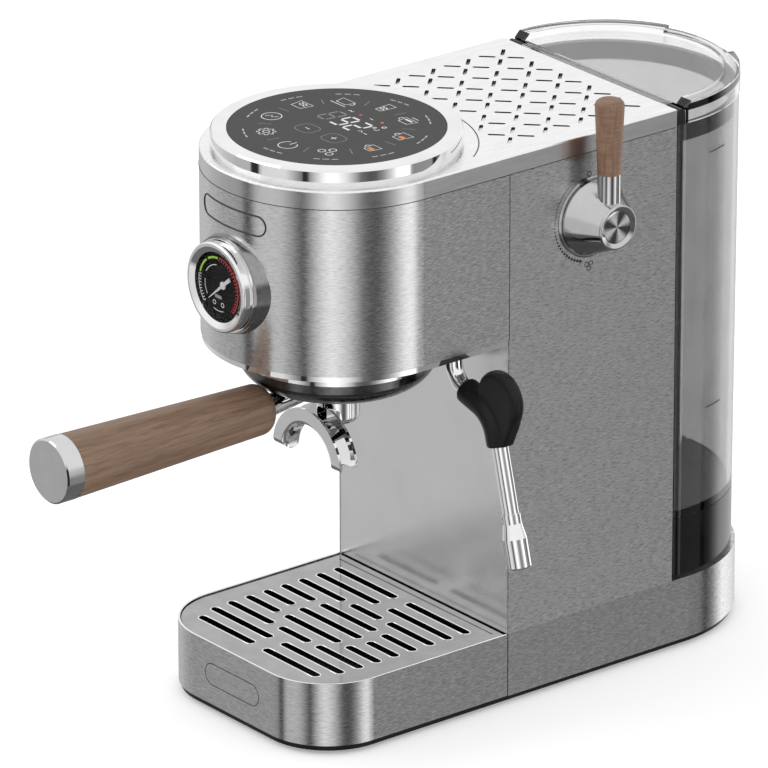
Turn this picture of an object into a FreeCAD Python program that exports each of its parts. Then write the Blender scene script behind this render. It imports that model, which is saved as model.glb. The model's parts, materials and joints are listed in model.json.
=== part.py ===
import FreeCAD, Part
import math
import os

V = FreeCAD.Vector
along_x = V(1, 0, 0)
along_y = V(0, 1, 0)
along_z = V(0, 0, 1)
tiny = 1e-6

# Body, in millimetres: X to the machine's right, -Y to its front, Z up from the worktop
body_width = 150.0
body_depth = 340.5
column_behind_group = 60.0
tank_straight = 12.25
tray_corner = 40.0
sheet = 1.2
moulding = 2.5

# Heights, each counted from the one before
foot_height = 2.5
plate_thickness = 3.0
base_height = 37.2
cup_height = 174.5
head_height = 96.4
cover_height = 10.6

# Clearances
lift_gap = 0.3
running = 0.05
snug = 0.1
tray_seam = 0.6

# Base
lip_inset = 1.5
foot_radius = 9.0
foot_side = 22.0
foot_front = 42.0
foot_back = 52.0
curb_width = 2.0
curb_height = 8.0
deck_flange = 12.0
gland_radius = 7.0
gland_flange = 9.5
gland_bore = 3.6
gland_rise = 16.0

# Head and cover
trim_height = 3.2
trim_inset = 0.6
panel_return = 8.0
cover_round = 1.1
cable_hole = 10.0
vent_pitch = 25.0
vent_length = 9.7
vent_width = 2.2
vent_start = 3.2
vent_back = 22.0
vent_margin = 12.0
seat_groove = 77.0
seat_groove_width = 0.8
seat_groove_depth = 0.4

# Control dial
dial_radius = 69.0
dial_height = 9.6
dial_neck_inset = 2.0
dial_neck_height = 2.8
dial_bevel = 1.0
glass_radius = 60.0
glass_thickness = 2.0
glass_ledge = 2.5
ledge_thickness = 1.5
board_thickness = 1.6
board_post = 2.0
board_post_radius = 2.5

# Pressure gauge, its axis pointing to the front
gauge_rise = 43.2
gauge_case_radius = 23.0
gauge_case_depth = 26.0
collar_root = 30.0
collar_front = 27.4
collar_depth = 14.0
collar_proud = 1.8
bezel_radius = 25.4
bezel_depth = 7.4
bezel_groove = 0.9
gauge_window = 19.8
face_radius = 21.0
face_thickness = 0.8
lens_thickness = 1.4
lens_lip = 0.8
needle_gap = 0.6
needle_thickness = 0.8
needle_length = 16.5
needle_tail = 8.0
needle_hub = 2.2
needle_angle = 220.0
pivot_radius = 0.8
pivot_depth = 4.0

# Brew group, on the head's round
ring_radius = 56.0
ring_height = 10.0
ring_wall = 10.0
lock_inset = 2.0
lock_height = 5.5
skirt_height = 8.5
skirt_wall = 2.0
skirt_bulge = 1.0
lip_height = 2.2
lip_clearance = 0.8
channel_clearance = 0.5
lug_reach = 5.5
lug_height = 3.4
lug_span = 45.0
unlock_angle = 50.0
lug_gap_span = 52.0
rim_rise = 3.0
group_flange = 52.0
group_flange_height = 5.0
group_boss = 34.0
group_boss_height = 17.0
gasket_inner = 27.5
gasket_outer = 34.5
gasket_height = 6.0
gasket_proud = 2.0
screen_thickness = 1.2
screw_head = 4.0
screw_head_height = 1.0
screw_shank = 2.0
screw_length = 9.0
heater_height = 52.0
heater_rib = 6.0
heater_groove = 3.0
coil_radius = 8.0
coil_height = 26.0

# Portafilter
bowl_radius = 38.0
bowl_foot = 32.0
bowl_height = 20.5
bowl_wall = 3.0
basket_radius = 29.5
basket_flange = 34.0
basket_depth = 15.5
basket_wall = 0.8
basket_hole = 0.7
basket_hole_pitch = 6.0
basket_hole_rings = 2
outlet_radius = 4.0
neck_root = 5.0
neck_radius = 6.6
neck_start = 24.0
neck_reach = 50.5
neck_rise = 2.0
handle_drop = 4.3
rod_radius = 4.5
rod_length = 60.0
grip_length = 136.0
grip_small = 14.4
grip_large = 18.0
grip_round = 7.0
grip_cap_length = 11.0
grip_cap_edge = 0.8
spout_boss = 12.2
spout_boss_drop = 24.6
spout_round = 5.0
spout_forward = 16.0
spout_arch = 20.0
spout_depth = 10.0
spout_width = 12.5
spout_wall = 1.6
spout_edge = 3.5
spout_drop = 43.5

# Steam lever, its axis pointing to the right
lever_share = 0.4858
lever_drop = 37.6
knob_flange_radius = 23.4
knob_flange_height = 1.4
hub_root = 21.6
hub_tip = 12.9
hub_length = 21.6
hub_rim = 1.2
cap_radius = 9.3
cap_sink = 2.4
cap_thickness = 1.2
lever_reach = 13.2
lever_neck = 6.4
lever_neck_top = 29.4
lever_spigot = 3.0
lever_spigot_length = 15.0
lever_wood_length = 42.6
lever_wood_small = 6.4
lever_wood_large = 8.2
lever_wood_dome = 3.4
stem_radius = 4.0
stem_in_hub = 14.0
stem_in_valve = 16.0
valve_radius = 11.0
valve_flange = 13.0
valve_flange_height = 3.0
valve_length = 30.0
valve_port = 5.0
valve_port_length = 6.0
valve_port_back = 20.0

# Steam wand, hanging beside the group
wand_from_side = 23.4
wand_clearance = 1.44
wand_tube_radius = 4.75
wand_bore = 3.4
wand_drop = 24.9
wand_reach = 35.2
wand_slope = 9.5
wand_tip_reach = 57.0
wand_tip_drop = 118.4
wand_top = 10.0
wand_first_bend = 14.0
wand_second_bend = 20.0
socket_radius = 8.0
socket_height = 5.0
sleeve_radius = 7.4
sleeve_below = 18.0
flag_radius = 16.8
flag_width = 8.0
flag_round = 2.5
flag_out = 5.0
flag_up = 9.5
flag_lean = -35.0
nozzle_length = 31.0
nozzle_radius = 7.0
nozzle_neck = 5.4
nozzle_floor = 4.0
nozzle_hole = 1.2

# Column contents
cheek = 2.5
cheek_window_margin = 16.0
frame_beam = 12.0
shelf_rise = 45.0
shelf_thickness = 3.0
pump_radius = 12.0
pump_length = 104.0
pump_coil_width = 40.0
pump_coil_height = 44.0
pump_nipple = 4.0
pump_nipple_length = 9.0
saddle_radius = 20.0
saddle_height = 12.0
board_width = 76.0
board_height = 84.0
board_drop = 31.3
post_length = 6.0
hose_radius = 4.0
hose_bend = 10.0
hose_rise = 13.0
pipe_radius = 2.5
pipe_bend = 8.0
pipe_offset = 18.0
pipe_above = 10.0
pressure_drop = 16.0

# Water tank
tank_gap = 1.0
tank_inset = 1.2
tank_draft = 1.1
lid_inset = 0.6
tank_corner = 7.0
tank_floor = 4.0
seat_height = 35.6
inlet_behind = 40.0
inlet_radius = 7.0
inlet_height = 9.0
inlet_flange = 11.0
inlet_flange_height = 2.0
inlet_nipple = 16.0
inlet_bore = 2.5
valve_cup = 12.0
valve_cup_flange = 15.0
valve_cup_height = 12.0
valve_cup_top = 2.0
tank_collar_height = 10.5
tank_collar_wall = 2.0
lid_height = 12.4
lid_skirt = 2.2
lid_rim = 9.0
lid_plate = 2.0
lid_plate_drop = 3.5
lid_notch_angle = 22.0
lid_notch_width = 4.5
lid_notch_depth = 3.2
hinge_behind = 3.5
hinge_radius = 2.8
ear_inset = 0.8
ear_width = 10.7
hinge_pin = 1.4
hinge_pin_length = 5.0

# Drip tray
tub_floor = 2.0
grille_thickness = 1.2
grille_recess = 0.8
grille_gap = 0.6
slot_pitch = 12.55
slot_width = 5.0
slot_back = 15.5
slot_front = 15.0
slot_side = 16.0
slot_ring = 30.0
slot_rib = 3.3
slot_centre_rib = 5.0
ring_forward = 65.75
rear_groove = 5.0
rear_groove_width = 1.2
rear_groove_depth = 0.5

# Places worked out from the sizes above
half_width = body_width / 2
front = -body_depth / 2
rear = body_depth / 2
group_y = front + half_width
column_front = group_y + column_behind_group
tank_y = rear - half_width
column_back = tank_y - tank_straight
plate_top = foot_height + plate_thickness
base_top = plate_top + base_height
head_bottom = base_top + cup_height
cover_seam = head_bottom + head_height
cover_top = cover_seam + cover_height
floor_under = head_bottom - trim_height
inside = half_width - sheet


def face_of(edges):
    return Part.Face(Part.Wire(edges))


def line(a, b):
    return [Part.LineSegment(a, b).toShape()] if a.distanceToPoint(b) > tiny else []


def arc(a, through, b):
    return [Part.Arc(a, through, b).toShape()] if a.distanceToPoint(b) > tiny else []


# Plan outline with its front edge at y0 and its back edge at y1, each with its own corner radius
def plan(half, y0, y1, r0, r1):
    c0 = r0 * (1 - math.sqrt(0.5))
    c1 = r1 * (1 - math.sqrt(0.5))
    right = [V(half - r0, y0, 0), V(half - c0, y0 + c0, 0), V(half, y0 + r0, 0)]
    right += [V(half, y1 - r1, 0), V(half - c1, y1 - c1, 0), V(half - r1, y1, 0)]
    left = [V(-p.x, p.y, 0) for p in reversed(right)]
    edges = arc(*right[:3]) + line(right[2], right[3]) + arc(*right[3:])
    edges += line(right[5], left[0])
    edges += arc(*left[:3]) + line(left[2], left[3]) + arc(*left[3:])
    edges += line(left[5], right[0])
    return face_of(edges)


def slab(outline, z0, z1):
    raised = outline.copy()
    raised.translate(V(0, 0, z0))
    return raised.extrude(V(0, 0, z1 - z0))


def block(x0, x1, y0, y1, z0, z1):
    return Part.makeBox(x1 - x0, y1 - y0, z1 - z0, V(x0, y0, z0))


def rod(radius, start, end):
    return Part.makeCylinder(radius, start.distanceToPoint(end), start, end - start)


def ring(outer, inner, centre, z0, z1):
    low = V(centre.x, centre.y, z0)
    high = V(centre.x, centre.y, z1)
    return rod(outer, low, high).cut(rod(inner, low, high))


# Turned solid: points are (radius, height); four numbers are an arc's middle point and end
def lathe(points, origin, axis=along_z):
    edges = []
    last = V(points[0][0], 0, points[0][1])
    for point in points[1:] + points[:1]:
        end = V(point[-2], 0, point[-1])
        if len(point) == 4:
            edges += arc(last, V(point[0], 0, point[1]), end)
        else:
            edges += line(last, end)
        last = end
    solid = face_of(edges).revolve(V(0, 0, 0), along_z, 360)
    solid.Placement = FreeCAD.Placement(origin, FreeCAD.Rotation(along_z, axis))
    return solid


# Quarter round for a turned profile, from one point to the next about a centre
def quarter(start, end, centre):
    radius = math.hypot(start[0] - centre[0], start[1] - centre[1])
    way = V(start[0] + end[0] - 2 * centre[0], start[1] + end[1] - 2 * centre[1], 0).normalize()
    return (centre[0] + way.x * radius, centre[1] + way.y * radius, end[0], end[1])


# Round bar along straight runs joined by tangent arcs, one bend radius for each corner
def bent_bar(points, bends, radius):
    edges = []
    last = points[0]
    for before, corner, after, bend in zip(points, points[1:], points[2:], bends):
        into = (before - corner).normalize()
        out = (after - corner).normalize()
        half_angle = into.getAngle(out) / 2
        middle = (into + out).normalize()
        setback = bend / math.tan(half_angle)
        start = corner + into * setback
        end = corner + out * setback
        through = corner + middle * (bend / math.sin(half_angle) - bend)
        edges += line(last, start) + arc(start, through, end)
        last = end
    edges += line(last, points[-1])
    section = Part.Wire(Part.makeCircle(radius, points[0], points[1] - points[0]))
    return Part.Wire(edges).makePipeShell([section], True, False)


# Upright bar of stadium section, for cutting a slot
def slot_bar(centre, length, width, angle, z0, z1):
    half = (length - width) / 2
    r = width / 2
    edges = line(V(-half, -r, 0), V(half, -r, 0))
    edges += arc(V(half, -r, 0), V(half + r, 0, 0), V(half, r, 0))
    edges += line(V(half, r, 0), V(-half, r, 0))
    edges += arc(V(-half, r, 0), V(-half - r, 0, 0), V(-half, -r, 0))
    bar = face_of(edges).extrude(V(0, 0, z1 - z0))
    bar.rotate(V(0, 0, 0), along_z, angle)
    bar.translate(V(centre.x, centre.y, z0))
    return bar


def wedge(radius, start_angle, end_angle, centre, z0, z1):
    low = V(centre.x, centre.y, z0)
    sector = Part.makeCylinder(radius, z1 - z0, low, along_z, end_angle - start_angle)
    sector.rotate(low, along_z, start_angle)
    return sector


def both_sides(x):
    return (-x, x)


# Base: black plate with a locating curb, rubber feet, steel band and cord gland
def make_base():
    outline = plan(half_width - lip_inset, front + lip_inset, rear - lip_inset,
                   tray_corner - lip_inset, half_width - lip_inset)
    plate = slab(outline, foot_height, plate_top)
    curb_out = inside - snug
    curb_in = curb_out - curb_width
    curb_y = column_front + sheet + snug
    curb = slab(plan(curb_out, curb_y, tank_y + curb_out, 0, curb_out), plate_top,
                plate_top + curb_height)
    well = slab(plan(curb_in, curb_y + curb_width, tank_y + curb_in, 0, curb_in), plate_top,
                plate_top + curb_height)
    plate = plate.fuse(curb.cut(well)).removeSplitter()

    feet = []
    for x in both_sides(half_width - foot_side):
        for y in (front + foot_front, rear - foot_back):
            edge = foot_height / 2
            profile = [(0, 0), (foot_radius - edge, 0), (foot_radius, edge)]
            profile += [(foot_radius, foot_height), (0, foot_height)]
            feet.append(lathe(profile, V(x, y, 0)))

    band = slab(plan(half_width, column_front, rear, 0, half_width), plate_top, base_top)
    hollow = slab(plan(inside, column_front + sheet, rear - sheet, 0, inside), plate_top,
                  base_top - sheet)
    window = block(-half_width + deck_flange, half_width - deck_flange,
                   column_front + deck_flange, column_back - deck_flange, base_top - sheet, base_top)
    gland_z = plate_top + gland_rise
    gland_hole = rod(gland_radius, V(0, tank_y, gland_z), V(0, rear + sheet, gland_z))
    band = band.cut(hollow).cut(window).cut(gland_hole)

    seat = -2 * sheet
    profile = [(gland_bore, seat), (gland_radius - snug, seat), (gland_radius - snug, snug)]
    profile += [(gland_flange, snug), (gland_flange - sheet, 2 * sheet), (gland_bore, 2 * sheet)]
    gland = lathe(profile, V(0, rear, gland_z), along_y)
    return {"base_plate": plate, "rubber_feet": Part.makeCompound(feet), "base_band": band,
            "cord_gland": gland}


# Column: folded steel sides, polished front, black back and the frame inside
lever_y = column_front + lever_share * (column_back - column_front)
lever_z = cover_seam - lever_drop
back_y = column_back - sheet - moulding


def make_column():
    panels = []
    for side in (-1, 1):
        low_x, high_x = sorted((side * inside, side * half_width))
        panel = block(low_x, high_x, column_front, column_back, base_top, cover_seam)
        fold_x = sorted((side * (inside - panel_return), side * inside))
        fold = block(fold_x[0], fold_x[1], column_back - sheet, column_back, base_top, cover_seam)
        panels.append(panel.fuse(fold).removeSplitter())
    stem_hole = rod(stem_radius + 1, V(0, lever_y, lever_z), V(body_width, lever_y, lever_z))
    splash = block(-inside, inside, column_front, column_front + sheet, base_top, head_bottom)
    back = block(-inside + snug, inside - snug, back_y, column_back - sheet, base_top, cover_seam)
    back = back.cut(hose_hole())
    return {"side_panel_right": panels[1].cut(stem_hole), "side_panel_left": panels[0],
            "splash_panel": splash, "back_panel": back}


inlet_y = column_back + tank_gap + inlet_behind
hose_z = base_top + hose_rise


def hose_hole():
    low = V(0, column_front, hose_z)
    return rod(hose_radius + 1, low, V(0, inlet_y, hose_z))


pump_y = (column_front + back_y) / 2
shelf_z = base_top + shelf_rise
shelf_top = shelf_z + shelf_thickness
cheek_out = inside - lift_gap
cheek_in = cheek_out - cheek
frame_front = column_front + sheet + lift_gap
frame_back = back_y - lift_gap


def make_frame():
    top = cover_seam - lift_gap
    frame = block(-cheek_out, cheek_out, frame_front, frame_back, base_top, top)
    frame = frame.cut(block(-cheek_in, cheek_in, frame_front, frame_back, base_top, top))
    shelf = block(-cheek_in, cheek_in, frame_front, frame_back, shelf_z, shelf_top)
    shelf = shelf.cut(rod(pump_nipple + 1, V(0, pump_y, shelf_z), V(0, pump_y, shelf_top)))
    beam = block(-cheek_in, cheek_in, frame_back - frame_beam, frame_back, top - shelf_thickness, top)
    windows = []
    for z0, z1 in ((base_top, shelf_z), (board_top(), top)):
        windows.append(block(-half_width, half_width, frame_front + cheek_window_margin,
                             frame_back - cheek_window_margin, z0 + cheek_window_margin / 2,
                             z1 - cheek_window_margin / 2))
    for hole in windows:
        frame = frame.cut(hole)
    return {"inner_frame": frame.fuse([shelf, beam]).removeSplitter()}


def board_top():
    return lever_z - board_drop


# Head: steel wrap, chrome floor and the vented cover that runs on over the column
gauge_z = head_bottom + gauge_rise
wand_x = half_width - wand_from_side
wand_ring = ring_radius + socket_radius + wand_clearance
wand_y = group_y + math.sqrt(wand_ring ** 2 - wand_x ** 2)
group_centre = V(0, group_y, 0)


def vent_slots():
    slots = []
    y = column_back - vent_back
    keep_off = seat_groove + vent_width
    reach = vent_start + vent_length
    while y > group_y:
        steps = int((half_width - vent_margin) / vent_pitch)
        for step in range(-steps, steps + 1):
            for angle in (45, 135, 225, 315):
                way = V(math.cos(math.radians(angle)), math.sin(math.radians(angle)), 0)
                centre = V(step * vent_pitch, y, 0)
                near = centre + way * vent_start
                far = centre + way * reach
                if min(p.distanceToPoint(group_centre) for p in (near, far)) > keep_off:
                    slots.append(slot_bar((near + far) * 0.5, vent_length, vent_width, angle,
                                          cover_seam, cover_top))
        y -= vent_pitch
    return Part.makeCompound(slots)


def make_head():
    outline = plan(half_width, front, column_front, half_width, 0)
    wrap = slab(outline, head_bottom, cover_seam)
    room = slab(plan(inside, front + sheet, column_front + sheet, inside, 0), head_bottom, cover_seam)
    gauge_hole = rod(gauge_case_radius + snug, V(0, group_y, gauge_z), V(0, front - sheet, gauge_z))
    wrap = wrap.cut(room).cut(gauge_hole)

    trim = half_width - trim_inset
    floor = slab(plan(trim, front + trim_inset, column_front, trim, 0), floor_under, head_bottom)
    floor = floor.cut(rod(ring_radius - ring_wall, V(0, group_y, floor_under), V(0, group_y, head_bottom)))
    floor = floor.cut(rod(wand_tube_radius + 1, V(wand_x, wand_y, floor_under),
                          V(wand_x, wand_y, head_bottom)))

    cover = slab(plan(half_width, front, column_back, half_width, 0), cover_seam, cover_top)
    upper_edges = [e for e in cover.Edges if e.BoundBox.ZMin > cover_top - tiny]
    cover = cover.makeFillet(min(cover_round, sheet * 0.95), upper_edges)
    pan = slab(plan(inside, front + sheet, column_back - sheet, inside, 0), cover_seam, cover_top - sheet)
    groove = ring(seat_groove + seat_groove_width / 2, seat_groove - seat_groove_width / 2,
                  group_centre, cover_top - seat_groove_depth, cover_top)
    behind_dial = block(-half_width + vent_margin, half_width - vent_margin, group_y, column_back,
                        cover_seam, cover_top)
    cover = cover.cut(pan).cut(vent_slots()).cut(groove.common(behind_dial))
    cover = cover.cut(rod(cable_hole, V(0, group_y, cover_seam), V(0, group_y, cover_top)))
    return {"head_shell": wrap, "head_floor": floor, "top_cover": cover}


# Control dial: chrome bezel, touch glass and the board under it
def make_dial():
    base = V(0, group_y, cover_top)
    ledge = dial_height - glass_thickness
    neck = dial_radius - dial_neck_inset
    inner = glass_radius - glass_ledge
    profile = [(glass_radius + dial_neck_inset, 0), (neck, 0), (neck, dial_neck_height)]
    profile += [(dial_radius, dial_neck_height), (dial_radius, dial_height - dial_bevel)]
    profile += [(dial_radius - dial_bevel, dial_height), (glass_radius + snug, dial_height)]
    profile += [(glass_radius + snug, ledge), (inner, ledge), (inner, ledge - ledge_thickness)]
    profile += [(glass_radius + dial_neck_inset, ledge - ledge_thickness - glass_ledge)]
    glass = [(0, ledge), (glass_radius, ledge), (glass_radius, dial_height - dial_bevel / 4)]
    glass += [(glass_radius - dial_bevel / 4, dial_height), (0, dial_height)]
    board = rod(inner - board_post, V(0, group_y, cover_top + board_post),
                V(0, group_y, cover_top + board_post + board_thickness))
    posts = []
    for x in both_sides(inner / 2):
        for y in (group_y - inner / 2, group_y + inner / 2):
            posts.append(rod(board_post_radius, V(x, y, cover_top), V(x, y, cover_top + board_post)))
    return {"control_bezel": lathe(profile, base), "control_glass": lathe(glass, base),
            "control_board": board.fuse(posts).removeSplitter()}


# Pressure gauge: every profile is counted outwards from the front of the head
def make_gauge():
    out = V(0, -1, 0)
    nose = V(0, front, gauge_z)
    bore = gauge_case_radius + snug
    root = -collar_depth
    collar = lathe([(bore, root), (collar_root, root), (collar_root, root / 2),
                    (collar_front, collar_proud), (bore, collar_proud)], nose, out)
    head = slab(plan(half_width, front, column_front, half_width, 0), head_bottom, cover_seam)
    collar = collar.cut(head)

    face_seat = collar_proud
    case = rod(gauge_case_radius, nose - out * gauge_case_depth, nose + out * face_seat)
    pivot_end = face_seat - pivot_depth
    case = case.cut(rod(pivot_radius + running, nose + out * pivot_end, nose + out * face_seat))
    face_front = face_seat + face_thickness
    face = rod(face_radius, nose + out * face_seat, nose + out * face_front)
    face = face.cut(rod(pivot_radius + running, nose + out * face_seat, nose + out * face_front))

    lip_back = collar_proud + bezel_depth - 3 * lens_lip
    rim = collar_proud + bezel_depth
    groove = collar_proud + bezel_depth / 4
    bezel = lathe([(face_radius + snug, face_seat), (bezel_radius + bezel_groove, face_seat),
                   (bezel_radius + bezel_groove, groove), (bezel_radius - bezel_groove, groove),
                   (bezel_radius - bezel_groove, groove + bezel_groove), (bezel_radius, groove + bezel_groove),
                   (bezel_radius, rim - 2 * lens_lip),
                   (bezel_radius - lens_lip / 2, rim - lens_lip / 2, bezel_radius - 2 * lens_lip, rim),
                   (bezel_radius - 3 * lens_lip, rim), (gauge_window, lip_back + lens_lip),
                   (gauge_window, lip_back), (face_radius + snug, lip_back)], nose, out)
    lens = rod(face_radius, nose + out * (lip_back - lens_thickness), nose + out * lip_back)
    return {"gauge_collar": collar, "gauge_case": case, "gauge_face": face, "gauge_bezel": bezel,
            "gauge_lens": lens, "gauge_needle": make_needle(nose, out, face_front, pivot_end)}


def make_needle(nose, out, face_front, pivot_end):
    back = face_front + needle_gap
    half_root = needle_hub / 2
    half_tip = needle_thickness / 4
    corners = [V(-needle_tail, 0, -half_root), V(needle_length, 0, -half_tip)]
    corners += [V(needle_length, 0, half_tip), V(-needle_tail, 0, half_root)]
    blade = Part.Face(Part.makePolygon(corners + corners[:1])).extrude(out * needle_thickness)
    blade.rotate(V(0, 0, 0), V(0, -1, 0), needle_angle)
    blade.translate(nose + out * back)
    hub = rod(needle_hub, nose + out * back, nose + out * (back + needle_thickness))
    pivot = rod(pivot_radius, nose + out * pivot_end, nose + out * back)
    return blade.fuse([hub, pivot]).removeSplitter()


# Brew group: chrome ring, bayonet ring, brew head with its seal and screen, and what feeds it
ring_bottom = floor_under - ring_height
lock_bottom = ring_bottom - lock_height
lug_bottom = lock_bottom + lip_height + lift_gap
rim_top = lug_bottom + lug_height + rim_rise
basket_top = rim_top + screen_thickness
gasket_bottom = basket_top + lift_gap
head_face = gasket_bottom + gasket_proud
lug_radius = bowl_radius + lug_reach
flange_top = head_bottom + group_flange_height
heater_bottom = flange_top + group_boss_height
heater_top = heater_bottom + heater_height
heater_radius = group_flange - 2 * coil_radius - 1


def make_group():
    ring_inner = ring_radius - ring_wall
    chrome = ring(ring_radius, ring_inner, group_centre, ring_bottom, floor_under)
    lock_outer = ring_radius - lock_inset
    channel = lug_radius + channel_clearance
    skirt_bottom = lock_bottom - skirt_height
    push = skirt_bulge * math.sqrt(0.5)
    bulge = ((channel + skirt_wall + lock_outer) / 2 + push, (skirt_bottom + lock_bottom) / 2 - push)
    lock = lathe([(channel, skirt_bottom), (channel + skirt_wall, skirt_bottom),
                  (*bulge, lock_outer, lock_bottom), (lock_outer, ring_bottom), (channel, ring_bottom)],
                 group_centre)
    lips = ring(lug_radius + 2 * channel_clearance, bowl_radius + lip_clearance, group_centre,
                lock_bottom, lock_bottom + lip_height)
    for turn in (0, 180):
        middle = turn - unlock_angle
        lips = lips.cut(wedge(ring_radius, middle - lug_gap_span / 2, middle + lug_gap_span / 2,
                              group_centre, lock_bottom, ring_bottom))
    lock = lock.fuse(lips).removeSplitter()

    body = ring_inner - snug
    groove_top = gasket_bottom + gasket_height
    profile = [(screw_shank + snug, head_face), (gasket_inner, head_face), (gasket_inner, groove_top)]
    profile += [(gasket_outer, groove_top), (gasket_outer, head_face), (body, head_face)]
    profile += [(body, head_bottom), (group_flange, head_bottom), (group_flange, flange_top)]
    profile += [(group_boss, flange_top), (group_boss, heater_bottom), (screw_shank + snug, heater_bottom)]
    brew_head = lathe(profile, group_centre)
    gasket = ring(gasket_outer, gasket_inner, group_centre, gasket_bottom, groove_top)
    screen_bottom = head_face - screen_thickness
    screen = ring(gasket_inner - snug, screw_shank + snug, group_centre, screen_bottom, head_face)
    head_top = screen_bottom - screw_head_height
    screw = lathe([(0, head_top), (screw_head, head_top), (screw_head, screen_bottom),
                   (screw_shank, screen_bottom), (screw_shank, head_top + screw_length),
                   (0, head_top + screw_length)], group_centre)

    profile = [(0, heater_bottom), (heater_radius, heater_bottom)]
    z = heater_bottom + heater_rib
    while z + heater_rib + heater_groove < heater_top:
        profile += [(heater_radius, z), (heater_radius - heater_groove, z)]
        z += heater_groove
        profile += [(heater_radius - heater_groove, z), (heater_radius, z)]
        z += heater_rib
    profile += [(heater_radius, heater_top), (0, heater_top)]
    heater = lathe(profile, group_centre)

    coil_x = -(group_flange - coil_radius)
    coil_axis = V(coil_x, group_y, 0)
    coil_top = flange_top + coil_height
    step = coil_height / 4
    coil = lathe([(0, flange_top), (coil_radius * 0.6, flange_top), (coil_radius * 0.6, flange_top + step),
                  (coil_radius, flange_top + step), (coil_radius, coil_top - step / 2),
                  (coil_radius * 0.6, coil_top - step / 2), (coil_radius * 0.6, coil_top), (0, coil_top)],
                 coil_axis)
    return {"group_ring": chrome, "lock_ring": lock, "group_head": brew_head, "group_gasket": gasket,
            "shower_screen": screen, "shower_screw": screw, "heating_block": heater,
            "solenoid_valve": coil}


# Portafilter: bowl with bayonet lugs and neck, basket, twin spout and wooden handle
bowl_bottom = rim_top - bowl_height
handle_z = bowl_bottom - handle_drop


def make_portafilter():
    floor_z = bowl_bottom + bowl_wall
    cavity = basket_radius + 1
    side_z = bowl_bottom + bowl_radius - bowl_foot
    bulge = (bowl_radius - bowl_foot) * math.sqrt(0.5)
    profile = [(outlet_radius, bowl_bottom), (bowl_foot, bowl_bottom)]
    profile += [(bowl_foot + bulge, side_z - bulge, bowl_radius, side_z)]
    profile += [(bowl_radius, rim_top), (cavity, rim_top), (cavity, floor_z), (outlet_radius, floor_z)]
    bowl = lathe(profile, group_centre)
    lugs = []
    for turn in (0, 180):
        lug = wedge(lug_radius, turn - lug_span / 2, turn + lug_span / 2, group_centre, lug_bottom,
                    lug_bottom + lug_height)
        lugs.append(lug.cut(rod(cavity + bowl_wall, V(0, group_y, bowl_bottom), V(0, group_y, rim_top))))

    to_front = V(0, -1, 0)
    neck_end = group_y - neck_reach
    root = V(0, group_y - neck_start, handle_z + neck_rise)
    end = V(0, neck_end, handle_z)
    sections = [Part.Wire(Part.makeCircle(neck_root, root, to_front)),
                Part.Wire(Part.makeCircle(neck_radius, end, to_front))]
    neck = Part.makeLoft(sections, True, True)
    neck = neck.cut(rod(cavity, V(0, group_y, floor_z), V(0, group_y, rim_top)))
    rod_end = end + to_front * rod_length
    body = bowl.fuse(lugs + [neck, rod(rod_radius, end, rod_end)]).removeSplitter()

    basket_bottom = basket_top - basket_depth
    basket = lathe([(0, basket_bottom), (basket_radius, basket_bottom), (basket_radius, rim_top),
                    (basket_flange, rim_top), (basket_flange, basket_top),
                    (basket_radius - basket_wall, basket_top),
                    (basket_radius - basket_wall, basket_bottom + basket_wall),
                    (0, basket_bottom + basket_wall)], group_centre)
    holes = []
    for layer in range(basket_hole_rings + 1):
        count = max(1, 6 * layer)
        for index in range(count):
            turn = 2 * math.pi * index / count
            at = V(layer * basket_hole_pitch * math.cos(turn),
                   group_y + layer * basket_hole_pitch * math.sin(turn), basket_bottom)
            holes.append(rod(basket_hole, at, at + V(0, 0, basket_wall)))
    basket = basket.cut(Part.makeCompound(holes))

    bore = rod_radius + snug
    slim = grip_small
    profile = [(bore, 0), (slim - grip_round, 0)]
    knee = grip_round * (1 - math.sqrt(0.5))
    profile += [(slim - knee, knee, slim, grip_round), (grip_large, grip_length), (0, grip_length)]
    profile += [(0, rod_length + 1), (bore, rod_length + 1)]
    grip = lathe(profile, end, to_front)
    cap_start = end + to_front * grip_length
    cap = lathe([(0, 0), (grip_large + grip_cap_edge / 4, 0),
                 (grip_large + grip_cap_edge / 4, grip_cap_length - grip_cap_edge),
                 (grip_large - grip_cap_edge, grip_cap_length), (0, grip_cap_length)], cap_start, to_front)
    return {"portafilter_body": body, "filter_basket": basket, "handle_grip": grip, "handle_cap": cap,
            "pour_spout": make_spout()}


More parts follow.
